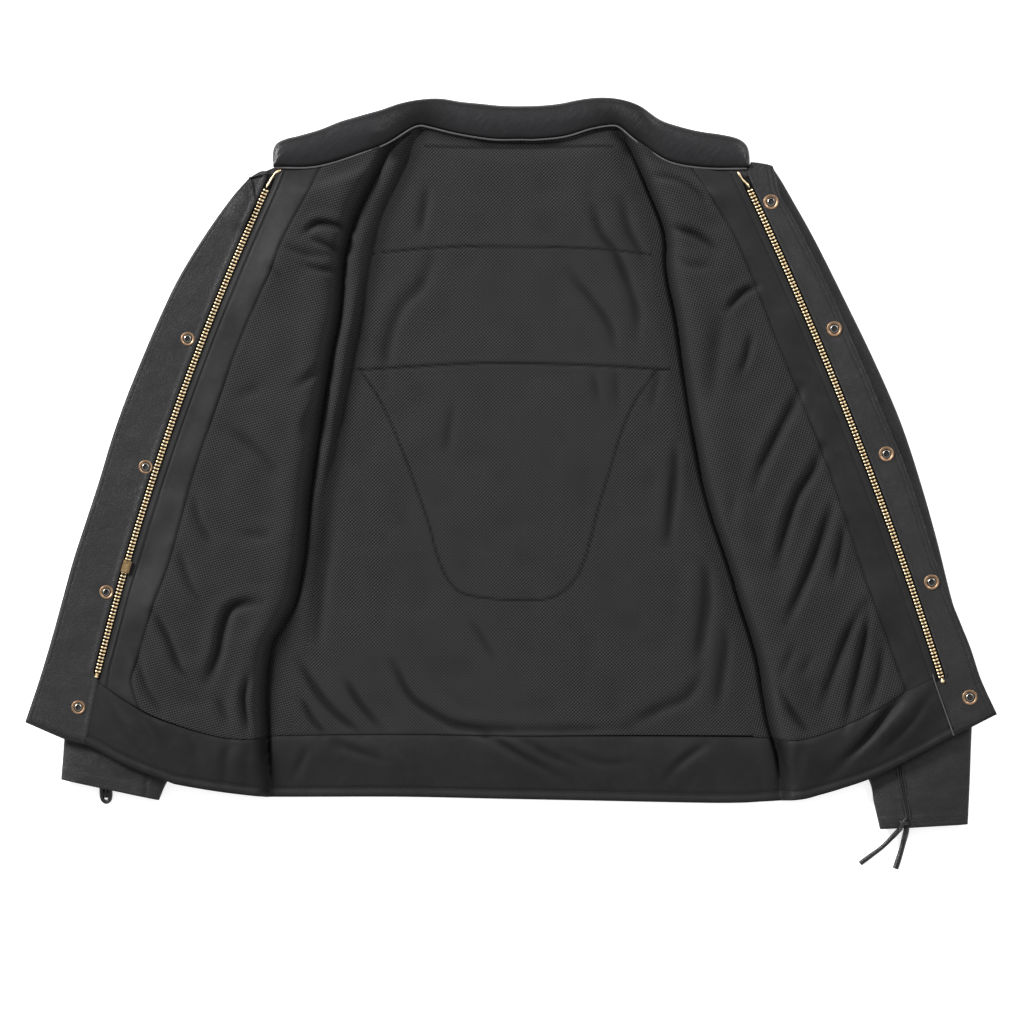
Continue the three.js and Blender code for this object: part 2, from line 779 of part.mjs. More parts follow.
// A flattened tube between its inner and outer edges. Its underside lies on the floor and its top stays
// under the front. Its loops are superellipses, and both of its ends are open.
function sleeveTube(side, outerDepth, innerDepth) {
  const sections = 10;
  const sides = 14;
  const power = 0.75;
  const inner = smooth(side.sleeveInner, sections);
  const outer = smooth(side.sleeveOuter, sections);
  const positions = [];
  const loop = (k, depth) => {
    const span = outer[k].clone().sub(inner[k]);
    const half = span.length() / 2 - depth;
    const way = span.clone().normalize();
    const centre = inner[k].clone().lerp(outer[k], 0.5);
    for (let j = 0; j < sides; j++) {
      const angle = (2 * Math.PI * j) / sides;
      const [c, s] = [Math.cos(angle), Math.sin(angle)];
      const point = centre.clone().addScaledVector(way, half * Math.sign(c) * Math.abs(c) ** power);
      const height = sleeveTop(side, point);
      const z = height / 2 + (height / 2 - depth) * Math.sign(s) * Math.abs(s) ** power;
      positions.push(point.x, point.y, z);
    }
  };
  for (let k = 0; k <= sections; k++) loop(k, outerDepth);
  for (let k = 0; k <= sections; k++) loop(k, innerDepth);

  const skin = (sections + 1) * sides;
  const at = (inside, k, j) => (inside ? skin : 0) + k * sides + (j % sides);
  const faces = [];
  const quad = (a, b, c, d) => {
    if (side.side < 0) faces.push(a, b, c, a, c, d);
    else faces.push(a, c, b, a, d, c);
  };
  for (let j = 0; j < sides; j++) {
    for (let k = 0; k < sections; k++) {
      quad(at(false, k, j), at(false, k + 1, j), at(false, k + 1, j + 1), at(false, k, j + 1));
      quad(at(true, k, j), at(true, k, j + 1), at(true, k + 1, j + 1), at(true, k + 1, j));
    }
    quad(at(false, 0, j), at(false, 0, j + 1), at(true, 0, j + 1), at(true, 0, j));
    const end = sections;
    quad(at(false, end, j), at(true, end, j), at(true, end, j + 1), at(false, end, j + 1));
  }
  const geometry = new THREE.BufferGeometry();
  geometry.setAttribute("position", new THREE.Float32BufferAttribute(positions, 3));
  geometry.setIndex(faces);
  geometry.computeVertexNormals();
  return geometry;
}

function addSleeves(group) {
  for (const side of [LEFT, RIGHT]) {
    add(group, "sleeve_" + side.name, sleeveTube(side, 0, LEATHER), OUTER_LEATHER);
    const liningDepth = LEATHER + LAYER_GAP;
    const lining = sleeveTube(side, liningDepth, liningDepth + SLEEVE_LINING);
    add(group, "sleeve_lining_" + side.name, lining, MESH_LINING);
  }
}

// ---------------------------------------------------------------- laces

function laceTube(points, width) {
  const curve = new THREE.CatmullRomCurve3(points);
  const section = new THREE.Shape();
  section.absarc(0, 0, width / 2, 0, 2 * Math.PI);
  const steps = Math.ceil(curve.getLength() / (2 * width));
  return new THREE.ExtrudeGeometry(section, {
    steps: Math.max(steps, 6),
    curveSegments: LACE_SIDES / 2,
    extrudePath: curve,
    bevelEnabled: false,
  });
}

function addLaces(group) {
  for (const lace of LACES) {
    const points = lace.route.map(([x, y, z]) => {
      const place = graded([x, y]);
      return new THREE.Vector3(place.x, place.y, z);
    });
    add(group, lace.name, laceTube(points, lace.width), OUTER_LEATHER);
  }
}

// ---------------------------------------------------------------- assembly

// A group whose contents are drawn flat, in the jacket's own X and Y, and then tilted about a side fold.
function foldGroup(parent, side) {
  const top = graded(side.fold.top);
  const bottom = graded(side.fold.bottom);
  const axis = new THREE.Vector3(top.x - bottom.x, top.y - bottom.y, 0).normalize();
  const pivot = new THREE.Group();
  pivot.position.set(top.x, top.y, FOLD_HEIGHT);
  pivot.quaternion.setFromAxisAngle(axis, -side.side * FRONT_TILT);
  const content = new THREE.Group();
  content.position.set(-top.x, -top.y, 0);
  pivot.add(content);
  parent.add(pivot);
  return content;
}

const jacket = new THREE.Group();
addBack(jacket);
addSleeves(jacket);
for (const side of [LEFT, RIGHT]) {
  const front = foldGroup(jacket, side);
  addFront(front, side);
  addSnaps(front, side);
  if (side === LEFT) addSlider(front, side);
}

// The origin is the centre of the jacket's footprint on the floor, its laces aside.
const footprint = new THREE.Box3().setFromObject(jacket);
jacket.position.set(
  -(footprint.min.x + footprint.max.x) / 2,
  -(footprint.min.y + footprint.max.y) / 2,
  -footprint.min.z,
);
addLaces(jacket);

export default jacket;
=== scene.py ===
"""A short leather work jacket with a stand collar, a brass zip, snaps and a mesh lining. It lies on its
back with both fronts opened outwards. All sizes in the lists are millimetres in the CAD frame: X across
the jacket, Y from the hem to the collar, Z up."""

import json
import math

import bpy
import numpy as np
from mathutils import Vector
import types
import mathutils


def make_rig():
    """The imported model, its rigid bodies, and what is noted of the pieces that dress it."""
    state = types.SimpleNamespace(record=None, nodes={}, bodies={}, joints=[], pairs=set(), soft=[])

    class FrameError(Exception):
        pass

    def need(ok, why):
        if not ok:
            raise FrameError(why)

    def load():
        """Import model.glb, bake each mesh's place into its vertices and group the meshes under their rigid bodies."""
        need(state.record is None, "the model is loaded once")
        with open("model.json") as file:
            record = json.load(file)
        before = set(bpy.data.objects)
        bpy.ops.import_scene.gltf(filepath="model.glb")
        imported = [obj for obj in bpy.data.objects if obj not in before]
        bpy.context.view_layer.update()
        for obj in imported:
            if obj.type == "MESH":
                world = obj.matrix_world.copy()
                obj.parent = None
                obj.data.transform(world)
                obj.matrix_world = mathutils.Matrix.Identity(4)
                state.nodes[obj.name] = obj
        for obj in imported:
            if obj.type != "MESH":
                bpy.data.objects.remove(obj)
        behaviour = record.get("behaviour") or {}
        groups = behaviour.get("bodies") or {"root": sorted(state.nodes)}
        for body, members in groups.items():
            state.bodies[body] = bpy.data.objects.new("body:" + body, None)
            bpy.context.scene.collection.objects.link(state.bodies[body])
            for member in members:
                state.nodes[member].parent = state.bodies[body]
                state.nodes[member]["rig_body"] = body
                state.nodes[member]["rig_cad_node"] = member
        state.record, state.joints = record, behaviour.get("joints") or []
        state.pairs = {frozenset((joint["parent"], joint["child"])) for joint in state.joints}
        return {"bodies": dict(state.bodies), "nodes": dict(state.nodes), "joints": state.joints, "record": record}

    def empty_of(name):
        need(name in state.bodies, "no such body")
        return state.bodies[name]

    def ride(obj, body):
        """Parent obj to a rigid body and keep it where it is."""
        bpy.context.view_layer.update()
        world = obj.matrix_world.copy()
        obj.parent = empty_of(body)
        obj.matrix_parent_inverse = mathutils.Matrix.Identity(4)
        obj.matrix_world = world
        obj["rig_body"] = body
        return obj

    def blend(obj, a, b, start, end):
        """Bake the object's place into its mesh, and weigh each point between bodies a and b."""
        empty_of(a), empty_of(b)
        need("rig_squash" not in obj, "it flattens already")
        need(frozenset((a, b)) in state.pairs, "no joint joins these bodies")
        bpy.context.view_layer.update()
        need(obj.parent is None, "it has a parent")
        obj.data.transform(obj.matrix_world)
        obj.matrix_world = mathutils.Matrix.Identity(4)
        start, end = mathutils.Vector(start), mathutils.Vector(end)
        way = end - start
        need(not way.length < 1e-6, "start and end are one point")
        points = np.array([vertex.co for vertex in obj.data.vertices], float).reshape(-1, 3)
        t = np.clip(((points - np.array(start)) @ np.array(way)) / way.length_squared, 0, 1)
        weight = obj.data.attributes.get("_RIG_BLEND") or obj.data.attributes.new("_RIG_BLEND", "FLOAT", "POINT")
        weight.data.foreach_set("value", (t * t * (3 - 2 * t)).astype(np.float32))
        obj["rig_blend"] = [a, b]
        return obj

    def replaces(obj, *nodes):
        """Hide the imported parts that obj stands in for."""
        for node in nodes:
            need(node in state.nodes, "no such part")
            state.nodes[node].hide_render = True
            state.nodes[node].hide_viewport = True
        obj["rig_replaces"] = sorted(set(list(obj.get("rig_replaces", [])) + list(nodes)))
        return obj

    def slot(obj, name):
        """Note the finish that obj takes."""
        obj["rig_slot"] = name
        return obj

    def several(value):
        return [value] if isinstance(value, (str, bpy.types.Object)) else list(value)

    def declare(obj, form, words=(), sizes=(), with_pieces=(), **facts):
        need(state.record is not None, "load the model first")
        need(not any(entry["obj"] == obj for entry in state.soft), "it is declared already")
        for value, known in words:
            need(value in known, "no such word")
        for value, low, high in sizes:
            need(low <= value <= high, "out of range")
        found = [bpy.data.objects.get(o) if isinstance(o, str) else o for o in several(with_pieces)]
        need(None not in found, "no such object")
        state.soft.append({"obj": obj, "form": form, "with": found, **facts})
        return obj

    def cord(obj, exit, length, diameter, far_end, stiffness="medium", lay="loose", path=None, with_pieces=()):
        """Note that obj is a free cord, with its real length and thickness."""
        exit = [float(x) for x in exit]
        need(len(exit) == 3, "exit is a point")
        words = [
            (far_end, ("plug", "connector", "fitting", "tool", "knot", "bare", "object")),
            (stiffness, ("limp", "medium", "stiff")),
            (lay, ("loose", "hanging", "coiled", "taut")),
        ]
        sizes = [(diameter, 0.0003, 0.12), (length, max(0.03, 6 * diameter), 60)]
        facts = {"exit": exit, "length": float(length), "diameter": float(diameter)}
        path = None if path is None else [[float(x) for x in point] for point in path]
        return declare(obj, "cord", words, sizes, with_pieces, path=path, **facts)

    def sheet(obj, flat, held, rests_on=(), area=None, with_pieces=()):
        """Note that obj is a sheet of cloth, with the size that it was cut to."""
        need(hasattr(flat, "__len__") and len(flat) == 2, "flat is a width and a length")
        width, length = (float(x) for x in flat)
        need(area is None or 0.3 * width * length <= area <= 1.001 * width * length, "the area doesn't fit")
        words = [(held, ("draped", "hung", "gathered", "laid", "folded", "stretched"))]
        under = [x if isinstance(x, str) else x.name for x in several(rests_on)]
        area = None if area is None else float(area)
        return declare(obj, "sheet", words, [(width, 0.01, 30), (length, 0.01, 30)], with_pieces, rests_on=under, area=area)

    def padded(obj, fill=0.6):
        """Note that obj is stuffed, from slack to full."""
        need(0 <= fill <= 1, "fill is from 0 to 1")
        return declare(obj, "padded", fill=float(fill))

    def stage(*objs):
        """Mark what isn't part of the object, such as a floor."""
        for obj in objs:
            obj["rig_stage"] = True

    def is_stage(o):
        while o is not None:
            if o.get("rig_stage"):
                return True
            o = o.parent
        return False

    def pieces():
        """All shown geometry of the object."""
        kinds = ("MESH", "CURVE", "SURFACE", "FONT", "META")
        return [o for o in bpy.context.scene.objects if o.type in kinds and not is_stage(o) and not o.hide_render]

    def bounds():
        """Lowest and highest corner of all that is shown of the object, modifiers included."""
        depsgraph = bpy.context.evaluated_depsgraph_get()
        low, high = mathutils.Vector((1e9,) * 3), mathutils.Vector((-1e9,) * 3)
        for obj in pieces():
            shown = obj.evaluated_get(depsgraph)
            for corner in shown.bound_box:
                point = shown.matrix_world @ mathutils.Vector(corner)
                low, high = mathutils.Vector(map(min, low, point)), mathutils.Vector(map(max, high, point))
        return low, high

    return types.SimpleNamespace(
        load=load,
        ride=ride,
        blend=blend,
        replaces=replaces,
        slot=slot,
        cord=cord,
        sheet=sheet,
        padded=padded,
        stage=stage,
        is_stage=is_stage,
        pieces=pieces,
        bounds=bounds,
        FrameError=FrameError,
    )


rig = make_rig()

MM = 0.001
LEFT, RIGHT = -1, 1
NAMES = {LEFT: "left", RIGHT: "right"}

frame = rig.load()
cad_low, cad_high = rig.bounds()

# ---------------------------------------------------------------- heights shared with the CAD parts

FOLD_Z = 15.0  # the axis of each side fold
SKIN = 0.8  # the upper skin of a front below that axis
FRONT_SLOPE = math.tan(math.radians(3.5))
SLEEVE_SLOPE = math.tan(math.radians(2.0))
SHELL_TOP = 2.5  # the upper face of the outer leather of a front, below the axis
SHELL_LOW = 3.9
SHELL_THICK = 1.4  # the outer leather
LEATHER_THICK = 1.4  # facings, hem band and flaps
CLOTH_THICK = 0.3  # the lining
FOLDS = {LEFT: ((-124.0, 321.0), (-236.0, -338.0)), RIGHT: ((117.0, 328.0), (244.0, -342.0))}

# ---------------------------------------------------------------- curves of the jacket, seen from above

# The line where each front turns over and the lining dives between the back and the front.
VALLEY = {
    LEFT: [(-104, 345), (-118, 325), (-130, 300), (-143, 275), (-155, 250), (-163, 225), (-168, 200),
           (-172, 150), (-180, 110), (-188, 60), (-196, 10), (-202, -30), (-206, -70), (-209, -100),
           (-217, -140), (-230, -165), (-241, -187), (-246, -230), (-245, -275), (-244, -310), (-243, -350)],
    RIGHT: [(104, 345), (117, 322), (127, 300), (140, 270), (152, 240), (156, 220), (156, 200), (159, 178),
            (165, 150), (169, 125), (173, 95), (179, 55), (186, 15), (193, -20), (201, -50), (211, -80),
            (221, -110), (230, -140), (240, -170), (248, -200), (253, -230), (259, -262), (268, -292),
            (272, -320), (273, -350)],
}
# The line where the back lining ends and the lining of each front begins.
SIDE = {
    LEFT: [(-82, 345), (-98, 320), (-110, 290), (-130, 245), (-141, 200), (-151, 150), (-158, 110),
           (-165, 75), (-172, 40), (-180, 0), (-188, -40), (-193, -80), (-197, -120), (-203, -180),
           (-213, -230), (-222, -275), (-226, -310), (-228, -350)],
    RIGHT: [(84, 345), (100, 322), (113, 290), (133, 245), (142, 200), (150, 150), (157, 110), (164, 60),
            (171, 15), (179, -20), (186, -50), (195, -80), (206, -110), (214, -140), (223, -170),
            (230, -200), (236, -230), (241, -262), (247, -292), (250, -320), (251, -350)],
}
NECK = [(-237, 295), (-203, 295), (-178, 300), (-146, 311), (-128, 318), (-117, 324), (-100, 335), (-91, 338),
        (-82, 336.5), (-60, 331), (-39, 327), (-16, 324), (9, 324), (26, 324), (54, 327), (81, 335),
        (100, 338), (109, 336), (122, 325), (137, 314), (155, 302.5), (174, 297), (202, 294), (238, 294)]
COLLAR_TOP = [(-238, 296), (-238, 311), (-234, 319), (-225, 323.5), (-211, 327), (-191, 333), (-171, 341),
              (-151, 347), (-131, 353), (-111, 360), (-91, 364), (-71, 365), (-51, 362), (-31, 360),
              (-11, 358), (9, 357.5), (29, 358), (49, 360), (69, 364), (89, 366), (109, 364), (129, 357),
              (149, 343), (169, 336), (189, 331), (209, 328), (225, 324.5), (234, 319), (238, 311),
              (239, 295)]
HEM = [(-485, -260), (-447, -276), (-422, -283), (-386, -302), (-344, -319), (-331, -323), (-291, -330),
       (-251, -335), (-231, -336), (-111, -336), (-11, -338), (89, -340), (189, -342), (229, -342),
       (249, -341), (289, -338), (309, -333), (329, -327), (358, -317), (387, -303), (440, -274),
       (461, -264), (485, -252)]
HEM_SEAM = [(-411, -220), (-382, -241), (-359, -254), (-332, -264), (-309, -271), (-286, -276), (-261, -277),
            (-231, -274), (-111, -273), (0, -275), (120, -275), (250, -276), (280, -278), (303, -274),
            (326, -266), (348, -256), (373, -242), (394, -229), (422, -215)]
FACING_SEAM = {
    LEFT: [(-190, 297), (-206, 264), (-228, 223), (-243, 185), (-269, 126), (-294, 57), (-320, -22),
           (-340, -96), (-357, -143), (-373, -196), (-379, -215), (-378, -227), (-371, -246)],
    RIGHT: [(180, 296), (192, 278), (207, 253), (221, 231), (241, 185), (267, 118), (292, 57), (313, 4),
            (333, -55), (364, -146), (379, -186), (394, -229)],
}
FLAP_EDGE = {
    LEFT: [(-262, 284), (-281, 262), (-309, 222), (-333, 182), (-352, 142), (-369, 102), (-385, 62),
           (-399, 22), (-411, -18), (-424, -58), (-437, -98), (-448, -138), (-459, -178), (-471, -218),
           (-485, -260)],
    RIGHT: [(261.4, 296), (264.5, 288), (266, 280), (269, 267), (282, 245), (294, 222), (318.5, 172),
            (338, 128),
            (358, 82), (376, 38), (392, 0), (408, -47), (424, -98), (441, -142), (458, -184), (469, -217),
            (485, -252)],
}
ZIP = {LEFT: ((-244.5, 273.0), (-413.0, -211.0), 12.0), RIGHT: ((238.5, 273.0), (430.0, -216.0), 9.0)}
ZIP_FOOT = {LEFT: (-425, -282.5), RIGHT: (442, -273.5)}  # where the seam below the zip meets the hem
FOOT_TOP = {LEFT: (-412.0, -219.0), RIGHT: (423.0, -221.0)}  # the flap's corner under the end of the zip
ZIP_HEAD = {LEFT: (-238, 290), RIGHT: (232, 289)}
HALF_TAPE = 4.3
COLLAR_END = {LEFT: -237.5, RIGHT: 238.5}
COLLAR_SPLIT = {LEFT: -92.0, RIGHT: 98.0}  # where the collar's parts meet, over the side folds
NECK_END = 331.0  # the highest Y of the side lines and of the valleys below
VALLEY_TOP = {LEFT: 322.0, RIGHT: 319.0}
HEM_SEAM_END = -274.0  # the lowest Y of the side lines at the hem seam and at the hem
HEM_END = -338.0
BACK_END = {LEFT: -334.0, RIGHT: -338.0}  # the same of the outer leather
YOKE_SEAM = [(-146, 208), (-100, 213), (-50, 216), (0, 216), (60, 215), (110, 212), (152, 206)]
MIDDLE_SEAM = [(-156, 92), (-75, 97), (-20, 99), (50, 98), (100, 96), (160, 92)]
POCKET_SEAM = [(-151, 92), (-130, 60), (-110, 15), (-97, -20), (-83, -60), (-75, -90), (-65, -115),
               (-50, -131), (-20, -137), (10, -139), (38, -137), (55, -128), (68, -112), (78, -85),
               (88, -45), (98, -12), (110, 28), (125, 62), (147, 93)]
TOP_SEAM = [(-86, 317), (-40, 316), (20, 316), (70, 317), (109, 317)]
# Where painted shadow lies in the corners at the neck, at the tops of the valleys.
NECK_SHADOW_CORNERS = [[(-104, 327), (-110, 319), (-116, 310)], [(106, 330), (113, 324), (118, 314)]]
CORNER_SEAMS = [[(-262, 284), (-250, 287), (-238, 289)], [(-260, 281), (-257.5, 268), (-255.5, 257)]]
SNAP_COVER = 2.6  # how far the leather of the left front rises over its highest snap
SNAPS = {
    LEFT: [(-268, 250), (-323, 123), (-365, -5), (-404, -130), (-432, -245)],
    RIGHT: [(260, 260), (323, 133), (375, 8), (420, -120), (458, -235)],
}

# Folds in the cloth: (points, half width, depth).
BACK_FOLDS = [
    ([(-84, 276), (-88, 252), (-92, 230)], 6, 3.0),
    ([(-78, 216), (-90, 180), (-110, 157), (-124, 121), (-128, 75)], 8, 3.2),
    ([(-58, 60), (-62, 35), (-66, 8)], 6, 1.6),
    ([(79, 266), (90, 230), (104, 212), (117, 180), (126, 148), (124, 126)], 7, 4.0),
    ([(110, 262), (119, 230), (135, 200)], 7, 3.4),
    ([(58, 190), (85, 157), (99, 135), (104, 110)], 7, 3.0),
    ([(104, 94), (106, 57)], 6, 1.6),
    ([(81, 94), (88, 60)], 5, 1.4),
    ([(165, 18), (163, -25), (156, -82)], 6, 4.6),
    ([(149, 96), (140, 52)], 5, 1.6),
    ([(195, -100), (195, -147), (187, -200)], 8, 4.6),
    ([(214, -160), (213, -195), (205, -248)], 7, 3.6),
    ([(-182, -60), (-190, -120), (-198, -190)], 9, 4.0),
    ([(-212, -200), (-200, -222), (-178, -250), (-148, -272)], 6, 4.6),
    ([(-210, -236), (-200, -256), (-186, -272)], 5, 3.8),
    ([(-167, -218), (-151, -243), (-132, -266)], 6, 3.4),
    ([(-119, -200), (-101, -234), (-78, -252), (-50, -265), (0, -271)], 6, 4.4),
    ([(-42, -156), (-15, -199)], 6, 1.6),
    ([(195, -206), (176, -234), (149, -247), (118, -262)], 7, 3.0),
    ([(-60, -264), (20, -268), (120, -266)], 5, 2.0),
    ([(-33, -268), (-1, -288), (31, -306), (58, -320)], 5, 3.6),
    ([(8, -276), (35, -293), (70, -307)], 5, 2.2),
    ([(54, -288), (90, -302), (125, -300)], 5, 1.6),
    ([(197, -282), (172, -300), (152, -322)], 5, 2.8),
    ([(-178, -282), (-146, -293), (-125, -300)], 5, 2.0),
    ([(-205, -288), (-218, -318)], 5, 2.6),
]
FRONT_FOLDS = {
    LEFT: [
        ([(-207, 228), (-193, 238), (-172, 235), (-155, 226)], 4.5, 7.5),
        ([(-201, 224), (-182, 216), (-164, 204)], 4.5, 6.0),
        ([(-228, 216), (-203, 208), (-176, 205)], 5, 3.0),
        ([(-206, 197), (-186, 192), (-164, 190)], 4.5, 4.6),
        ([(-242, 196), (-228, 183)], 5, 1.6),
        ([(-205, 275), (-175, 290), (-140, 300)], 6, 3.0),
        ([(-176, 108), (-196, 88), (-216, 75)], 6, 4.4),
        ([(-184, 62), (-200, 44), (-206, 24)], 6, 4.0),
        ([(-282, 32), (-257, 15), (-232, -12)], 8, 3.6),
        ([(-272, 66), (-250, 76)], 7, 1.8),
        ([(-268, -72), (-238, -73)], 7, 2.2),
        ([(-318, -30), (-312, -60), (-298, -86)], 6, 3.2),
        ([(-332, -88), (-322, -120), (-308, -144)], 6, 3.8),
        ([(-356, -150), (-341, -180), (-331, -205), (-320, -219)], 5.5, 6.2),
        ([(-374, -192), (-365, -225), (-348, -252)], 5, 4.0),
        ([(-250, -140), (-266, -141), (-281, -148), (-288, -166), (-293, -192), (-303, -218)], 6, 8.0),
        ([(-262, -212), (-267, -238), (-262, -272)], 5, 7.0),
        ([(-292, -236), (-284, -262)], 6, 3.0),
        ([(-395, -232), (-370, -264), (-352, -292)], 5, 3.0),
        ([(-382, -240), (-356, -268), (-338, -300)], 5, 2.6),
        ([(-402, -240), (-388, -268), (-370, -292)], 4, 2.0),
        ([(-284, -282), (-288, -326)], 6, 3.6),
        ([(-262, -284), (-264, -326)], 6, 3.2),
        ([(-318, -276), (-316, -316)], 8, 2.0),
    ],
    RIGHT: [
        ([(138, 287), (165, 284), (185, 271), (199, 256)], 5, 7.0),
        ([(157, 236), (180, 229), (195, 221), (206, 211)], 5, 7.0),
        ([(160, 205), (180, 197), (200, 196)], 6, 3.0),
        ([(246, 176), (230, 168), (216, 152)], 4.5, 6.0),
        ([(240, 128), (235, 105), (229, 88)], 5, 4.6),
        ([(210, 150), (203, 100), (198, 55)], 9, 4.0),
        ([(290, 75), (275, 45), (262, 20), (250, -5), (242, -28)], 6, 6.2),
        ([(311, 14), (300, -10), (285, -35), (275, -65), (265, -104)], 6, 7.6),
        ([(321, -40), (308, -80), (292, -121), (275, -160)], 6, 7.6),
        ([(333, -60), (327, -92), (321, -122)], 5, 4.6),
        ([(222, -30), (220, -60), (230, -85)], 7, 4.0),
        ([(357, -134), (337, -171), (324, -203), (309, -246)], 5.5, 5.2),
        ([(358, -142), (351, -185), (342, -225), (333, -266)], 5, 6.6),
        ([(371, -183), (367, -212), (356, -248)], 5, 4.2),
        ([(282, -183), (270, -216)], 5, 2.6),
        ([(300, -192), (290, -214)], 5, 2.0),
        ([(266, -224), (283, -253), (297, -272)], 5.5, 6.4),
        ([(402, -220), (378, -250), (345, -288), (312, -320)], 6, 4.6),
        ([(382, -240), (352, -280), (330, -300)], 5, 3.2),
        ([(424, -226), (394, -266), (366, -294)], 5.5, 4.2),
        ([(290, -282), (285, -326)], 7, 2.6),
        ([(258, -200), (263, -238), (268, -272)], 3, 5.0),
        ([(250, -176), (256, -215), (262, -262)], 3, 4.0),
    ],
}


def even(points, n):
    """n points evenly spaced along a polyline."""
    along = np.r_[0, np.cumsum(np.linalg.norm(np.diff(points, axis=0), axis=1))]
    at = np.linspace(0, along[-1], n)
    return np.stack([np.interp(at, along, points[:, k]) for k in range(points.shape[1])], 1)


def smooth(points, n):
    """A Catmull-Rom curve through the points, given as n evenly spaced points. With neighbours a, b, c, d and
    f from 0 to 1 between b and c: (2b + (c-a)f + (2a-5b+4c-d)f^2 + (3b-a-3c+d)f^3) / 2."""
    p = np.asarray(points, float)
    p = np.vstack([2 * p[0] - p[1], p, 2 * p[-1] - p[-2]])
    t = np.linspace(0, len(p) - 3, 16 * (len(p) - 3) + 1)
    i = np.minimum(t.astype(int), len(p) - 4)
    f = (t - i)[:, None]
    a, b, c, d = p[i], p[i + 1], p[i + 2], p[i + 3]
    curve = 0.5 * (2 * b + (c - a) * f + (2 * a - 5 * b + 4 * c - d) * f**2 + (3 * b - a - 3 * c + d) * f**3)
    return even(curve, n)


def part_of(points, low, high, n, axis):
    """The part of a curve whose coordinate on an axis lies from low to high, as n even points."""
    curve = smooth(points, 900)
    order = np.argsort(curve[:, axis], kind="stable")
    curve = curve[order]
    other = 1 - axis
    at = np.linspace(low, high, n * 4)
    cut = np.zeros((len(at), 2))
    cut[:, axis] = at
    cut[:, other] = np.interp(at, curve[:, axis], curve[:, other])
    return even(cut, n)


def reader(points, axis):
    """A function that reads a curve's other coordinate at a value of the one on the axis."""
    curve = smooth(points, 900)
    curve = curve[np.argsort(curve[:, axis], kind="stable")]
    return lambda at: np.interp(at, curve[:, axis], curve[:, 1 - axis])


valley_x = {s: reader(VALLEY[s], 1) for s in VALLEY}
side_x = {s: reader(SIDE[s], 1) for s in SIDE}
facing_x = {s: reader(FACING_SEAM[s], 1) for s in FACING_SEAM}
neck_y = reader(NECK, 0)
hem_y = reader(HEM, 0)
hem_seam_y = reader(HEM_SEAM, 0)


def zip_arc(s, outwards, n, start=0.0, end=1.0):
    """n points of the row of teeth, moved outwards. The row is a circular arc through its two ends whose
    middle bows outwards by b: its radius is (h^2 + b^2) / 2b for a half chord h."""
    top, bottom, bow = np.array(ZIP[s][0]), np.array(ZIP[s][1]), ZIP[s][2]
    chord = bottom - top
    half = np.linalg.norm(chord) / 2
    away = np.array([-s * chord[1], s * chord[0]]) / (2 * half)
    radius = (half**2 + bow**2) / (2 * bow)
    centre = (top + bottom) / 2 + away * (bow - radius)
    a0 = math.atan2(*(top - centre)[::-1])
    a1 = math.atan2(*(bottom - centre)[::-1])
    turn = (a1 - a0 + math.pi) % (2 * math.pi) - math.pi
    angle = a0 + turn * np.linspace(start, end, n)
    reach = radius + outwards
    return centre + reach * np.stack([np.cos(angle), np.sin(angle)], 1)


ZIP_LENGTH = {s: float(np.linalg.norm(np.diff(zip_arc(s, 0, 200), axis=0), axis=1).sum()) for s in ZIP}
zip_x = {s: reader(np.vstack([ZIP_HEAD[s], zip_arc(s, 0, 30), ZIP_FOOT[s]]), 1) for s in ZIP}


def fold_distance(x, y, s):
    """Distance outwards from the axis of a side fold."""
    (x0, y0), (x1, y1) = FOLDS[s]
    slope = (x1 - x0) / (y1 - y0)
    return s * (x - x0 - slope * (y - y0)) / math.hypot(1, slope)


def step(t):
    """Smooth step from 0 to 1: 3t^2 - 2t^3."""
    t = np.clip(t, 0, 1)
    return t * t * (3 - 2 * t)


def bell(distance, width):
    """exp(-(distance/width)^2)."""
    return np.exp(-((distance / width) ** 2))


def noise(x, y, size, seed):
    """Value noise from -1 to 1: random values on a square lattice, blended with 6t^5 - 15t^4 + 10t^3."""
    lattice = np.random.default_rng(seed).uniform(-1, 1, (256, 256))
    u, v = x / size + 97.3, y / size + 61.7
    i, j = np.floor(u).astype(int), np.floor(v).astype(int)
    f, g = u - i, v - j
    f, g = f**3 * (f * (6 * f - 15) + 10), g**3 * (g * (6 * g - 15) + 10)
    at = lambda a, b: lattice[a % 256, b % 256]
    low = at(i, j) * (1 - f) + at(i + 1, j) * f
    high = at(i, j + 1) * (1 - f) + at(i + 1, j + 1) * f
    return low * (1 - g) + high * g


def pleats(x, y, folds):
    """Grooves along curves: depth * (-exp(-r^2) + 0.42 exp(-(r/2.2)^2)) for a distance of r half widths, so
    each groove has a soft ridge beside it, and fades at both of its ends."""
    z = np.zeros_like(x)
    for points, width, depth in folds:
        curve = smooth(points, 20)
        low, high = curve.min(0) - 5 * width, curve.max(0) + 5 * width
        near = (x > low[0]) & (x < high[0]) & (y > low[1]) & (y < high[1])
        if not near.any():
            continue
        p = np.stack([x[near], y[near]], -1)
        best = np.full(len(p), np.inf)
        along = np.zeros(len(p))
        for k in range(len(curve) - 1):
            a, d = curve[k], curve[k + 1] - curve[k]
            t = np.clip(((p - a) @ d) / (d @ d), 0, 1)
            far = np.linalg.norm(p - a - t[:, None] * d, axis=1)
            closer = far < best
            best = np.where(closer, far, best)
            along = np.where(closer, (k + t) / (len(curve) - 1), along)
        fade = np.sin(np.pi * np.clip(along, 0.02, 0.98)) ** 0.55
        r = best / width
        z[near] += depth * fade * (0.42 * bell(r, 2.2) - np.exp(-(r**2)))
    return z


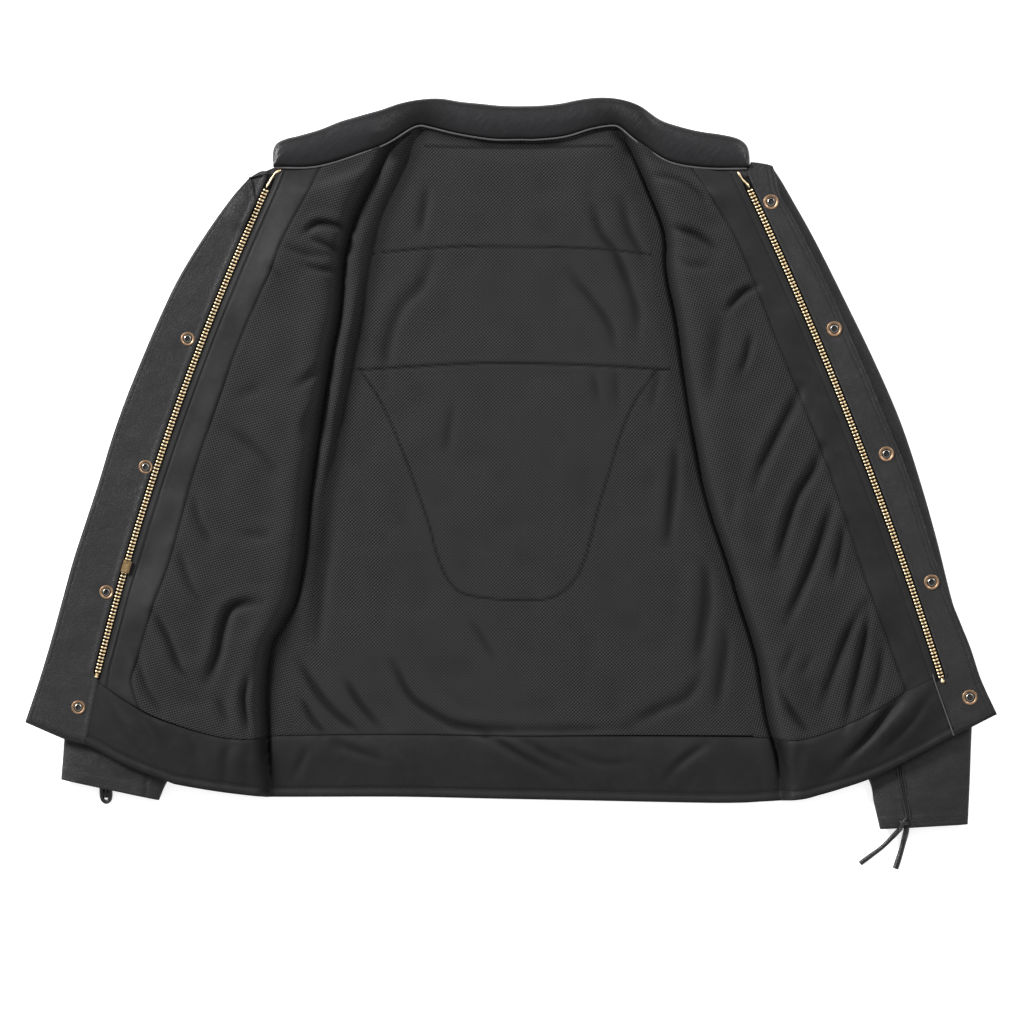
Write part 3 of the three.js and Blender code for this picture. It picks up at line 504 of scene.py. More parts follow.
def near_curve(x, y, curve, width):
    """exp(-(distance/width)^2) from a polyline."""
    low, high = curve.min(0) - 4 * width, curve.max(0) + 4 * width
    out = np.zeros_like(x)
    near = (x > low[0]) & (x < high[0]) & (y > low[1]) & (y < high[1])
    p = np.stack([x[near], y[near]], -1)
    best = np.full(len(p), np.inf)
    for k in range(len(curve) - 1):
        a, d = curve[k], curve[k + 1] - curve[k]
        t = np.clip(((p - a) @ d) / (d @ d), 0, 1)
        best = np.minimum(best, np.linalg.norm(p - a - t[:, None] * d, axis=1))
    out[near] = bell(best, width)
    return out


# ---------------------------------------------------------------- height of the inside

BACK_LOW = 2.0  # the lowest that the back lining may lie
BACK_LOFT = 6.5  # how far the lining stands off the leather where it is fullest
FRONT_LOFT = 7.5
BACK_COVER = 0.5  # the least height of the lining over the outer leather, on each side of a valley
FRONT_COVER = 1.4
BACK_DEPTH = 1.3  # how much deeper the folds lie than in the lists above
FRONT_DEPTH = 1.35


def plane(x, y, s):
    """The upper skin of a front as it lies, tilted about its fold."""
    return FOLD_Z - SKIN + FRONT_SLOPE * np.maximum(fold_distance(x, y, s), -6)


FLOOR_LEATHER = 1.5  # the upper face of the leather that lies on the floor


def loft(x, y):
    """How full the lining is, from 0 along the outer edges to 1."""
    hem = step((y - hem_y(x)) / 58)
    neck = step((neck_y(x) - y) / 26)
    full = hem * neck
    for s in (LEFT, RIGHT):
        full = full * step(s * (zip_x[s](y) - x) / 48)
    return full


def shell_top(x, y, s):
    """The upper face of the outer leather: on the floor under the back, and 1.7 mm under the skin of a front.
    It climbs from the one to the other beside the valley."""
    e = s * (x - valley_x[s](y))
    rise = step((e + 5) / 17)
    return FLOOR_LEATHER + (plane(x, y, s) - (SHELL_TOP - SKIN) - FLOOR_LEATHER) * rise


def inside(x, y):
    """The height of the inside of the jacket, from collar to hem and from zip to zip. Both the back and the
    fronts are a loft, lumps and pleats added up. Beside a valley the back rises in a bell-shaped ridge, and
    both sides fall into the valley as exp(-(e/width)^k), for a distance of e from it."""
    full = loft(x, y)
    lumps = 0.9 * noise(x, y, 46, 3) + 0.5 * noise(x, y, 21, 4)
    folds = (lumps + BACK_DEPTH * pleats(x, y, BACK_FOLDS)) * np.maximum(full, 0.45)
    back = BACK_LOW + BACK_LOFT * full + folds
    z = back
    for s in (LEFT, RIGHT):
        e = s * (x - valley_x[s](y))
        roll = 6.5 + 2.2 * noise(x, y, 60, 7) + 1.2 * noise(x, y, 22, 9)
        lower = step((y + 110) / 130) if s == LEFT else 0.12 + 0 * y
        ridge = roll * lower * bell(e + 12, 8.5) * step((neck_y(x) - y) / 30 + 0.4)
        dip = bell(np.minimum(e, 0), 3.0)
        sink = 3.0 * lower * bell(x - side_x[s](y), 4.5)
        z = np.where(e < 0, (z + ridge - sink) * (1 - dip) + BACK_LOW * dip, z)
        z = np.maximum(z, np.where((e < 0) & (e > -12), shell_top(x, y, s) + BACK_COVER, BACK_LOW))
        skin = plane(x, y, s)
        swell = FRONT_LOFT * full + 2.6 * noise(x, y, 52, 11 + s) * full
        creases = FRONT_DEPTH * pleats(x, y, FRONT_FOLDS[s])
        swell = swell + (1.2 * noise(x, y, 24, 5) + creases) * np.maximum(full, 0.4)
        inner = bell(np.maximum(e, 0) - 20, 15) * 2.5 * full
        front = skin + np.maximum(swell + inner, -1.0)
        wall = np.exp(-((np.maximum(e, 0) / 6.5) ** 1.4))
        front = front - (front - BACK_LOW) * wall
        front = np.maximum(front, shell_top(x, y, s) + FRONT_COVER)
        z = np.where(e >= 0, front, z)
    return np.maximum(z, BACK_LOW)


def blurred(z, reach):
    """The grid's heights averaged over a window of 2 * reach + 1 points each way, twice."""
    for _ in range(2):
        for axis in (0, 1):
            pad = [(reach + 1, reach) if a == axis else (0, 0) for a in (0, 1)]
            total = np.cumsum(np.pad(z, pad, mode="edge"), axis=axis)
            size = z.shape[axis]
            high = np.take(total, np.arange(2 * reach + 1, 2 * reach + 1 + size), axis=axis)
            low = np.take(total, np.arange(size), axis=axis)
            z = (high - low) / (2 * reach + 1)
    return z


def settled(lines, shape):
    """The shade of seams and valleys over the shade of the shape, which counts less where they are dark."""
    return lines + shape * (1 - np.clip(2.5 * lines, 0, 1))


def side_shade(x, y):
    """The painted shadow along the ends of the back lining, deep on the left and faint on the right, and in the
    corners at the neck.
    """
    left = 0.72 * bell(x - side_x[LEFT](y) - 3, 8.0) * step((y + 200) / 140)
    right = 0.3 * bell(x - side_x[RIGHT](y) - 4, 9.0) * step((y + 260) / 120)
    corners = [near_curve(x, y, smooth(points, 8), 8.0) for points in NECK_SHADOW_CORNERS]
    return np.maximum(np.maximum(left, right), 1.1 * np.maximum(*corners))


def relief(z, reach=5, scale=3.2):
    """Painted shade and highlight from the shape, its height against the surroundings: positive, painted shade, in
    hollows; negative, painted highlight, on crests.
    """
    return np.clip((blurred(z, reach) - z) / scale, -0.45, 0.7)


# ---------------------------------------------------------------- meshes


def mesh_piece(name, verts, faces, material, slot, uv=None, shade=None, sharp=50):
    """A mesh object from points in millimetres and arrays of faces with equal counts of corners."""
    mesh = bpy.data.meshes.new(name)
    verts = np.asarray(verts, float) * MM
    mesh.vertices.add(len(verts))
    mesh.vertices.foreach_set("co", verts.ravel())
    loops = np.concatenate([f.ravel() for f in faces])
    sizes = np.concatenate([np.full(len(f), f.shape[1]) for f in faces])
    starts = np.r_[0, np.cumsum(sizes)[:-1]]
    mesh.loops.add(len(loops))
    mesh.loops.foreach_set("vertex_index", loops.astype(np.int32))
    mesh.polygons.add(len(sizes))
    mesh.polygons.foreach_set("loop_start", starts.astype(np.int32))
    if uv is not None:
        layer = mesh.uv_layers.new(name="UVMap")
        layer.data.foreach_set("uv", (np.asarray(uv, float) * MM)[loops].ravel())
    if shade is not None:
        attribute = mesh.attributes.new("shade", "FLOAT", "POINT")
        attribute.data.foreach_set("value", np.asarray(shade, np.float32).ravel())
    mesh.update(calc_edges=True)
    mesh.polygons.foreach_set("use_smooth", np.ones(len(sizes), bool))
    mesh.set_sharp_from_angle(angle=math.radians(sharp))
    mesh.materials.append(material)
    piece = bpy.data.objects.new(name, mesh)
    bpy.context.scene.collection.objects.link(piece)
    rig.slot(piece, slot)
    return piece


def grid_faces(rows, columns, closed=False):
    """Quads of a grid of points, counter-clockwise from above where columns run in +X and rows in -Y."""
    i = np.arange(rows * columns).reshape(rows, columns)
    if closed:
        i = np.hstack([i, i[:, :1]])
    corners = [i[:-1, :-1], i[1:, :-1], i[1:, 1:], i[:-1, 1:]]
    return np.stack(corners, -1).reshape(-1, 4)


def slab(name, top, bottom, material, slot, uv=None, shade=None):
    """A closed sheet between an upper and a lower grid of points, with a rim round it."""
    rows, columns = top.shape[:2]
    count = rows * columns
    i = np.arange(count).reshape(rows, columns)
    upper = grid_faces(rows, columns)
    rim = np.concatenate([i[:, 0], i[-1, 1:], i[-2::-1, -1], i[0, -2::-1]])
    p, q = rim[:-1], rim[1:]
    sides = np.stack([q, p, p + count, q + count], 1)
    verts = np.concatenate([top.reshape(-1, 3), bottom.reshape(-1, 3)])
    if uv is not None:
        uv = np.tile(uv.reshape(-1, 2), (2, 1))
    if shade is not None:
        shade = np.tile(shade.ravel(), 2)
    return mesh_piece(name, verts, [upper, upper[:, ::-1] + count, sides], material, slot, uv, shade)


def declare_sheet(piece, surface, held, rests_on=()):
    """Declares a piece as a sheet of cloth or leather cut to the size of this surface: the longest row and
    column of its points, and the area of its quads as two triangles each."""
    size = along_grid(surface) * MM
    p = surface * MM
    first = np.cross(p[1:, :-1] - p[:-1, :-1], p[:-1, 1:] - p[:-1, :-1])
    second = np.cross(p[:-1, 1:] - p[1:, 1:], p[1:, :-1] - p[1:, 1:])
    area = float(np.linalg.norm(first, axis=2).sum() + np.linalg.norm(second, axis=2).sum()) / 2
    width, length = float(size[..., 0].max()), float(size[..., 1].max())
    share = min(area / (width * length), 1.0)
    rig.sheet(piece, flat=(round(width, 3), round(length, 3)), held=held, rests_on=list(rests_on),
             area=round(share * round(width, 3) * round(length, 3), 5))


def coons(left, right, top, bottom):
    """The grid between four edges: the two ruled surfaces added, less the bilinear one of the corners."""
    u = np.linspace(0, 1, len(top))[None, :, None]
    v = np.linspace(0, 1, len(left))[:, None, None]
    top = top[None] + (1 - u) * (left[0] - top[0]) + u * (right[0] - top[-1])
    bottom = bottom[None] + (1 - u) * (left[-1] - bottom[0]) + u * (right[-1] - bottom[-1])
    ruled = (1 - u) * left[:, None] + u * right[:, None] + (1 - v) * top + v * bottom
    corners = (1 - v) * ((1 - u) * left[0] + u * right[0]) + v * ((1 - u) * left[-1] + u * right[-1])
    return ruled - corners


def along_grid(grid):
    """A grid's own two lengths in millimetres at each point: across its rows and down its columns."""
    across = np.linalg.norm(np.diff(grid, axis=1), axis=2).cumsum(1)
    down = np.linalg.norm(np.diff(grid, axis=0), axis=2).cumsum(0)
    across = np.hstack([np.zeros((len(grid), 1)), across])
    down = np.vstack([np.zeros((1, grid.shape[1])), down])
    return np.stack([across, down], -1)


def with_height(grid, z):
    """Grid points with their heights as a third coordinate."""
    return np.concatenate([grid, z[..., None]], -1)


# ---------------------------------------------------------------- materials


class Nodes:
    """Short names for building a node tree."""

    def __init__(self, tree):
        self.tree = tree

    def add(self, kind, inputs=(), **settings):
        """A new node with its settings and inputs, each input a value or another node's output."""
        node = self.tree.nodes.new(kind)
        for key, value in settings.items():
            setattr(node, key, value)
        for key, value in dict(inputs).items():
            self.put(node.inputs[key], value)
        return node

    def put(self, socket, value):
        """Gives a socket a value, or links another node's output to it."""
        if isinstance(value, bpy.types.NodeSocket):
            self.tree.links.new(value, socket)
        else:
            socket.default_value = value

    def maths(self, operation, a, b=0.0, c=0.0):
        """The output of a maths node."""
        node = self.add("ShaderNodeMath", {0: a, 1: b, 2: c}, operation=operation)
        return node.outputs[0]

    def blend(self, share, a, b):
        """Colour a turning into colour b by a share."""
        node = self.add("ShaderNodeMix", data_type="RGBA")
        self.put(node.inputs[0], share)
        self.put(node.inputs[6], a)
        self.put(node.inputs[7], b)
        return node.outputs[2]


def new_group(name, inputs, outputs):
    """A shader node group with (name, kind, default) inputs and (name, kind) outputs."""
    group = bpy.data.node_groups.new(name, "ShaderNodeTree")
    for label, kind, default in inputs:
        socket = group.interface.new_socket(label, in_out="INPUT", socket_type=kind)
        if default is not None:
            socket.default_value = default
    for label, kind in outputs:
        group.interface.new_socket(label, in_out="OUTPUT", socket_type=kind)
    n = Nodes(group)
    return group, n, n.add("NodeGroupInput"), n.add("NodeGroupOutput")


def grain_group():
    """Leather grain: Height is pebbles and fine pores, Tone a slow change of colour, Wear the high spots."""
    group, n, source, sink = new_group(
        "Grain",
        [("Vector", "NodeSocketVector", None), ("Pebble", "NodeSocketFloat", 620.0)],
        [("Height", "NodeSocketFloat"), ("Tone", "NodeSocketFloat"), ("Wear", "NodeSocketFloat")],
    )
    vector, pebble = source.outputs["Vector"], source.outputs["Pebble"]
    bent = n.add("ShaderNodeTexNoise", {"Vector": vector, "Scale": 140.0, "Detail": 2.0})
    shift = n.add("ShaderNodeVectorMath", {0: bent.outputs["Color"], 1: (0.5, 0.5, 0.5)},
                  operation="SUBTRACT")
    scaled = n.add("ShaderNodeVectorMath", {0: shift.outputs[0], "Scale": 0.004}, operation="SCALE")
    moved = n.add("ShaderNodeVectorMath", {0: vector, 1: scaled.outputs[0]}, operation="ADD").outputs[0]
    cells = n.add("ShaderNodeTexVoronoi", {"Vector": moved, "Scale": pebble}, feature="DISTANCE_TO_EDGE")
    pits = n.add("ShaderNodeTexNoise", {"Vector": vector, "Scale": 1900.0, "Detail": 2.0})
    crazed = n.add("ShaderNodeTexNoise", {"Vector": moved, "Scale": 90.0, "Detail": 5.0, "Roughness": 0.62})
    pebbles = n.maths("MINIMUM", n.maths("MULTIPLY", cells.outputs["Distance"], 4.0), 1.0)
    height = n.maths("MULTIPLY_ADD", pits.outputs[0], 0.35, pebbles)
    height = n.maths("MULTIPLY_ADD", crazed.outputs[0], 1.3, height)
    slow = n.add("ShaderNodeTexNoise", {"Vector": vector, "Scale": 17.0, "Detail": 4.0, "Roughness": 0.6})
    tone = n.add("ShaderNodeMapRange", {0: slow.outputs[0], 1: 0.3, 2: 0.7, 3: 0.0, 4: 1.0})
    wear = n.add("ShaderNodeMapRange", {0: crazed.outputs[0], 1: 0.5, 2: 0.72, 3: 0.0, 4: 1.0})
    n.put(sink.inputs["Height"], height)
    n.put(sink.inputs["Tone"], tone.outputs[0])
    n.put(sink.inputs["Wear"], wear.outputs[0])
    return group


def weave_group():
    """Mesh cloth: Height is a lattice of threads at a pitch, turned by an angle; Holes marks the gaps."""
    group, n, source, sink = new_group(
        "Weave",
        [("Vector", "NodeSocketVector", None), ("Pitch", "NodeSocketFloat", 0.0034),
         ("Angle", "NodeSocketFloat", 0.0)],
        [("Height", "NodeSocketFloat"), ("Holes", "NodeSocketFloat"), ("Tone", "NodeSocketFloat")],
    )
    vector = source.outputs["Vector"]
    turned = n.add("ShaderNodeVectorRotate", {"Vector": vector, "Angle": source.outputs["Angle"]})
    parts = n.add("ShaderNodeSeparateXYZ", {0: turned.outputs[0]})
    turns = n.maths("DIVIDE", math.tau, source.outputs["Pitch"])
    waves = [n.maths("SINE", n.maths("MULTIPLY", parts.outputs[k], turns)) for k in (0, 1)]
    product = n.maths("MULTIPLY", waves[0], waves[1])
    fuzz = n.add("ShaderNodeTexNoise", {"Vector": vector, "Scale": 1500.0, "Detail": 2.0})
    height = n.maths("MULTIPLY_ADD", fuzz.outputs[0], 0.5, product)
    holes = n.add("ShaderNodeMapRange", {0: product, 1: -0.9, 2: 0.3, 3: 1.0, 4: 0.0})
    slow = n.add("ShaderNodeTexNoise", {"Vector": vector, "Scale": 24.0, "Detail": 3.0})
    n.put(sink.inputs["Height"], height)
    n.put(sink.inputs["Holes"], holes.outputs[0])
    n.put(sink.inputs["Tone"], slow.outputs[0])
    return group


def grey(value, tint=0.0):
    """A colour near grey, a little bluer for a positive tint."""
    return (value, value * (1 - tint), value * (1 + tint), 1.0)


def material_of(name):
    """A new material with the short names for its nodes and its one shader."""
    material = bpy.data.materials.new(name)
    material.use_nodes = True
    material.node_tree.nodes.clear()
    n = Nodes(material.node_tree)
    shader = n.add("ShaderNodeBsdfPrincipled")
    n.add("ShaderNodeOutputMaterial", {0: shader.outputs[0]})
    return material, n, shader


def shade_group():
    """Shade: paints light and shade into a colour by the stored shade. Below 0 the colour turns to its highlight
    colour, by 0.55 of the shade, a painted highlight; from 0 to 1 it turns near black, painted shade."""
    group, n, source, sink = new_group(
        "Shade",
        [("Shade", "NodeSocketFloat", 0.0), ("Colour", "NodeSocketColor", None),
         ("Highlight Colour", "NodeSocketColor", None)],
        [("Colour", "NodeSocketColor")],
    )
    shade = source.outputs["Shade"]
    raised = n.maths("MAXIMUM", n.maths("MULTIPLY", shade, -1.0), 0.0)
    crest = n.maths("MINIMUM", n.maths("MULTIPLY", raised, 0.55), 1.0)
    colour = n.blend(crest, source.outputs["Colour"], source.outputs["Highlight Colour"])
    hollow = n.maths("MINIMUM", n.maths("MAXIMUM", shade, 0.0), 1.0)
    n.put(sink.inputs["Colour"], n.blend(hollow, colour, grey(0.0015)))
    return group


def paler(colour, times):
    """A colour some times brighter, up to white."""
    return tuple(min(1.0, times * c) for c in colour[:3]) + (1.0,)


def shaded(n, colour, light):
    """The colour with the painted shade and highlight of the Shade group, by the shade stored on the mesh."""
    stored = n.add("ShaderNodeAttribute", attribute_name="shade").outputs["Fac"]
    parts = {"Shade": stored, "Colour": colour, "Highlight Colour": paler(light, 2.3)}
    return n.add("ShaderNodeGroup", parts, node_tree=SHADE).outputs["Colour"]


def leather(name, dark, light, rough, bump, pebble, shine):
    """Pigmented leather: grain in the bump, a slow change of tone, paler high spots, and painted shade and highlight
    from the mesh.
    """
    material, n, shader = material_of(name)
    place = n.add("ShaderNodeTexCoord").outputs["Object"]
    grain = n.add("ShaderNodeGroup", {"Vector": place, "Pebble": pebble}, node_tree=GRAIN)
    colour = n.blend(grain.outputs["Tone"], dark, light)
    worn = n.maths("MULTIPLY", grain.outputs["Wear"], 0.35)
    colour = n.blend(worn, colour, paler(light, 1.6))
    n.put(shader.inputs["Base Color"], shaded(n, colour, light))
    n.put(shader.inputs["Roughness"], n.maths("MULTIPLY_ADD", grain.outputs["Tone"], -0.1, rough + 0.05))
    n.put(shader.inputs["Specular IOR Level"], shine)
    bumps = n.add("ShaderNodeBump", {"Height": grain.outputs["Height"], "Strength": bump, "Distance": 0.0005})
    n.put(shader.inputs["Normal"], bumps.outputs[0])
    return material


def cloth(name, dark, light, angle, pitch):
    """Mesh lining: a lattice of threads, darker in its holes and matt, with painted shade and highlight from the mesh.
    """
    material, n, shader = material_of(name)
    place = n.add("ShaderNodeUVMap").outputs[0]
    values = {"Vector": place, "Angle": angle, "Pitch": pitch}
    weave = n.add("ShaderNodeGroup", values, node_tree=WEAVE)
    colour = n.blend(weave.outputs["Holes"], light, dark)
    colour = n.blend(n.maths("MULTIPLY", weave.outputs["Tone"], 0.3), colour, dark)
    n.put(shader.inputs["Base Color"], shaded(n, colour, light))
    n.put(shader.inputs["Roughness"], 0.85)
    n.put(shader.inputs["Specular IOR Level"], 0.2)
    n.put(shader.inputs["Sheen Weight"], 0.03)
    n.put(shader.inputs["Sheen Roughness"], 0.5)
    bumps = n.add("ShaderNodeBump", {"Height": weave.outputs["Height"], "Strength": 0.8, "Distance": 0.0007})
    n.put(shader.inputs["Normal"], bumps.outputs[0])
    return material


def metal(name, colour, tarnish, rough):
    """Plated metal with dull, darker patches."""
    material, n, shader = material_of(name)
    place = n.add("ShaderNodeTexCoord").outputs["Object"]
    spots = n.add("ShaderNodeTexNoise", {"Vector": place, "Scale": 420.0, "Detail": 4.0, "Roughness": 0.65})
    share = n.add("ShaderNodeMapRange", {0: spots.outputs[0], 1: 0.42, 2: 0.66, 3: 0.0, 4: 0.75})
    n.put(shader.inputs["Base Color"], n.blend(share.outputs[0], colour, tarnish))
    n.put(shader.inputs["Metallic"], 1.0)
    n.put(shader.inputs["Roughness"], n.maths("MULTIPLY_ADD", share.outputs[0], 0.25, rough))
    bumps = n.add("ShaderNodeBump", {"Height": spots.outputs[0], "Strength": 0.15, "Distance": 0.0002})
    n.put(shader.inputs["Normal"], bumps.outputs[0])
    return material


def plain(name, colour, rough):
    """One even colour, for thread and for near-black painted shadow in holes and gaps."""
    material, n, shader = material_of(name)
    n.put(shader.inputs["Base Color"], colour)
    n.put(shader.inputs["Roughness"], rough)
    return material


GRAIN = grain_group()
WEAVE = weave_group()
SHADE = shade_group()
THREAD_PITCH = 0.0034  # metres between the threads of the lining
OUTER = leather("outer_leather", grey(0.012, 0.04), grey(0.0172, 0.04), 0.5, 0.4, 620.0, 0.3)
COLLAR = leather("collar_leather", grey(0.0075, 0.07), grey(0.0125, 0.07), 0.4, 0.16, 520.0, 0.34)
FACING = leather("facing_leather", grey(0.0095, 0.01), grey(0.0135, 0.01), 0.6, 0.22, 800.0, 0.2)
# The leather of the thin cords is several times paler than the other leather: a painted highlight along them.
PIPING_PAINTED_HIGHLIGHT = leather("piping_leather_painted_highlight", grey(0.05, 0.02), grey(0.075, 0.02), 0.3, 0.2, 900.0, 0.8)
LACE = leather("lace_leather", grey(0.004), grey(0.008), 0.36, 0.3, 700.0, 0.5)
BACK_MESH = cloth("back_mesh", grey(0.007, 0.02), grey(0.034, 0.02), 0.0, THREAD_PITCH)
FRONT_MESH = cloth("front_mesh", grey(0.007, 0.02), grey(0.032, 0.02), math.radians(45), THREAD_PITCH)
TAPE = cloth("zip_tape", grey(0.002), grey(0.006), 0.0, 0.0012)
BRASS = metal("zip_brass", (1.0, 0.84, 0.55, 1), (0.62, 0.40, 0.2, 1), 0.4)
DULL_BRASS = metal("slider_brass", (0.42, 0.29, 0.15, 1), (0.16, 0.10, 0.05, 1), 0.45)
COPPER = metal("snap_copper", (0.38, 0.25, 0.155, 1), (0.18, 0.11, 0.07, 1), 0.4)
NICKEL = metal("snap_nickel", (0.52, 0.50, 0.46, 1), (0.25, 0.23, 0.2, 1), 0.26)
THREAD = plain("thread", grey(0.007), 0.7)
# Near black: painted shadow in the snap bores and in the gap between the cuff cords.
PAINTED_HOLE_SHADOW = plain("painted_hole_shadow", grey(0.004), 0.8)

# ---------------------------------------------------------------- how pieces ride

BLEND_FROM = 4.0  # millimetres outwards of a fold's axis where a piece starts to follow the front
BLEND_TO = 38.0


def bends(piece, s):
    """The piece follows the back inside a side fold and the front outside it."""
    (x0, y0), (x1, y1) = FOLDS[s]
    along = np.array([x1 - x0, y1 - y0]) / math.hypot(x1 - x0, y1 - y0)
    away = np.array([-along[1], along[0]]) * (1 if -along[1] * s > 0 else -1)
    at = lambda d: (*((np.array([x0, y0]) + away * d) * MM), FOLD_Z * MM)
    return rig.blend(piece, "back", "front_" + NAMES[s], at(BLEND_FROM), at(BLEND_TO))


def rides(piece, s):
    """The piece rides on a front, or on the back for side 0."""
    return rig.ride(piece, "front_" + NAMES[s] if s else "back")


def ordered(left, right, s):
    """An inner and an outer curve as a left and a right one."""
    return (right, left) if s == LEFT else (left, right)


def side_by_side(strips, s):
    """The inner and the outer strip of a front as one grid with columns in +X."""
    if s == LEFT:
        return np.hstack([strips[1], strips[0][:, 1:]])
    return np.hstack([strips[0], strips[1][:, 1:]])


# ---------------------------------------------------------------- linings

SEAMS = [(YOKE_SEAM, 1.6, 1.4), (MIDDLE_SEAM, 1.9, 1.5), (POCKET_SEAM, 1.3, 1.3), (TOP_SEAM, 0.8, 1.6)]


def crease_shade(x, y, s):
    """Extra darkness in the valley beside a front, where light hardly reaches."""
    e = s * (x - valley_x[s](y))
    return 0.85 * np.exp(-((np.where(e > 0, e / 7, e / 5)) ** 2))


def add_back_lining():
    """The mesh inside the back, from the neck to the hem band, sunk and darkened along its seams."""
    rows, columns = 270, 150
    left = part_of(SIDE[LEFT], HEM_SEAM_END, NECK_END, rows, 1)[::-1]
    right = part_of(SIDE[RIGHT], HEM_SEAM_END, NECK_END, rows, 1)[::-1]
    left[0] = (left[0][0], neck_y(left[0][0]))
    right[0] = (right[0][0], neck_y(right[0][0]))
    top = part_of(NECK, left[0][0], right[0][0], columns, 0)
    bottom = part_of(HEM_SEAM, left[-1][0], right[-1][0], columns, 0)
    grid = coons(left, right, top, bottom)
    x, y = grid[..., 0], grid[..., 1]
    z = inside(x, y)
    shade = np.zeros_like(x)
    for points, depth, width in SEAMS:
        line = near_curve(x, y, smooth(points, 60), width)
        beside = near_curve(x, y, smooth(points, 60), 3 * width)
        z = z - depth * line + 0.25 * depth * beside
        shade = np.maximum(shade, 0.85 * line)
    shade = np.maximum(shade, 0.5 * bell(y - hem_seam_y(x), 2.0))
    for s in (LEFT, RIGHT):
        shade = np.maximum(shade, crease_shade(x, y, s))
    z = np.maximum(z, BACK_LOW)
    shade = settled(shade, relief(z, 4, 2.6))
    shade = np.maximum(shade, side_shade(x, y))
    top_skin = with_height(grid, z)
    low_skin = with_height(grid, z - CLOTH_THICK)
    piece = slab("lining_back", top_skin, low_skin, BACK_MESH, "mesh_lining", grid, shade)
    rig.replaces(piece, "lining_yoke", "lining_middle", "lining_pocket", "lining_lower")
    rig.ride(piece, "back")
    declare_sheet(piece, top_skin, "laid", ["outer_back"])


def add_front_lining(s):
    """The mesh inside a front, from the side of the back through the valley to the facing."""
    rows = 290
    side = part_of(SIDE[s], HEM_SEAM_END, NECK_END, rows, 1)[::-1]
    side[0] = (side[0][0], neck_y(side[0][0]))
    valley = part_of(VALLEY[s], -276, VALLEY_TOP[s], rows, 1)[::-1]
    valley[0] = (valley[0][0], neck_y(valley[0][0]))
    valley[-1] = (valley[-1][0], hem_seam_y(valley[-1][0]))
    side[-1] = (side[-1][0], hem_seam_y(side[-1][0]))
    seam = smooth(FACING_SEAM[s], rows)
    strips = []
    for first, last, columns in ((side, valley, 14), (valley, seam, 74)):
        a, b = ordered(first, last, s)
        neck = part_of(NECK, a[0][0], b[0][0], columns, 0)
        hem = part_of(HEM_SEAM, a[-1][0], b[-1][0], columns, 0)
        strips.append(coons(a, b, neck, hem))
    grid = side_by_side(strips, s)
    x, y = grid[..., 0], grid[..., 1]
    z = inside(x, y)
    seam_dark = bell(x - facing_x[s](y), 2.0)
    z = z - 1.0 * seam_dark
    shade = np.maximum(0.4 * seam_dark, 0.4 * bell(y - hem_seam_y(x), 2.0))
    shade = np.maximum(shade, crease_shade(x, y, s))
    shade = np.maximum(settled(shade, relief(z, 4, 3.8)), side_shade(x, y))
    uv = grid @ np.array([[0.96, s * 0.28], [-s * 0.28, 0.96]])
    piece = slab("lining_front_" + NAMES[s], with_height(grid, z), with_height(grid, z - CLOTH_THICK),
                 FRONT_MESH, "mesh_lining", uv, shade)
    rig.replaces(piece, "front_lining_" + NAMES[s])
    bends(piece, s)
    declare_sheet(piece, with_height(grid, z), "laid", ["outer_front_" + NAMES[s]])


# ---------------------------------------------------------------- facings, hem and flaps


FACING_GROOVE, FACING_CREST = 11.5, 9.3  # inwards of the zip


def add_facing(s):
    """The leather strip between a front's mesh and its zip, with a groove and a crest beside the zip."""
    rows, columns = 260, 26
    seam = smooth(FACING_SEAM[s], rows)
    arc = zip_arc(s, -HALF_TAPE, 60)
    head = np.array(ZIP_HEAD[s]) - np.array([s * HALF_TAPE, 0])
    below = np.array([FOOT_TOP[s][0], hem_seam_y(FOOT_TOP[s][0])])
    edge = even(np.vstack([head, arc[arc[:, 1] > below[1] + 2], below]), rows)
    left, right = ordered(seam, edge, s)
    top = part_of(NECK, left[0][0], right[0][0], columns, 0)
    bottom = part_of(HEM_SEAM, left[-1][0], right[-1][0], columns, 0)
    grid = coons(left, right, top, bottom)
    x, y = grid[..., 0], grid[..., 1]
    z = inside(x, y)
    inwards = s * (zip_x[s](y) - x)
    line = bell(inwards - FACING_GROOVE, 1.0)
    crest = bell(inwards - FACING_CREST, 1.0)
    wave = 0.7 * noise(x, y, 26, 8) * step(inwards / 20)
    z = z + wave - 0.6 * line + 0.7 * crest
    seam_dark = bell(x - facing_x[s](y), 1.6)
    z = z - 0.8 * seam_dark
    # Painted shade in the groove beside the zip and a painted highlight on its crest; darker at the seam; and the
    # painted shade and highlight of the shape.
    shade = np.maximum(0.4 * line, 0.7 * seam_dark) - 0.25 * crest + relief(z, 4, 5.0)
    piece = slab("facing_trim_" + NAMES[s], with_height(grid, z), with_height(grid, z - LEATHER_THICK * 0.6),
                 FACING, "facing_leather", grid, shade)
    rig.replaces(piece, "facing_" + NAMES[s])
    rides(piece, s)
    declare_sheet(piece, with_height(grid, z), "laid", ["outer_front_" + NAMES[s]])


HEM_STITCH = 9.0  # the row of stitches above the hem's edge


def hem_surface(grid):
    """Height and shade of the hem band: the inside's height less two bell-shaped grooves, at its upper seam
    and at its stitches, plus a round bead above its edge."""
    x, y = grid[..., 0], grid[..., 1]
    z = inside(x, y)
    up = y - hem_y(x)
    seam = bell(y - hem_seam_y(x), 1.8)
    stitch = bell(up - HEM_STITCH, 1.2)
    bead = 1.2 * bell(up - 3.5, 3.0)
    z = z - 0.9 * seam - 0.5 * stitch + bead
    # Painted shade in the seam and stitch grooves, darker along the edge, over the painted shade and highlight of the
    # shape.
    edge = 0.8 * bell(np.maximum(up, 0), 1.3)
    lines = np.maximum(np.maximum(0.7 * seam, 0.95 * stitch), edge)
    return z, settled(lines, relief(z, 4, 4.0))


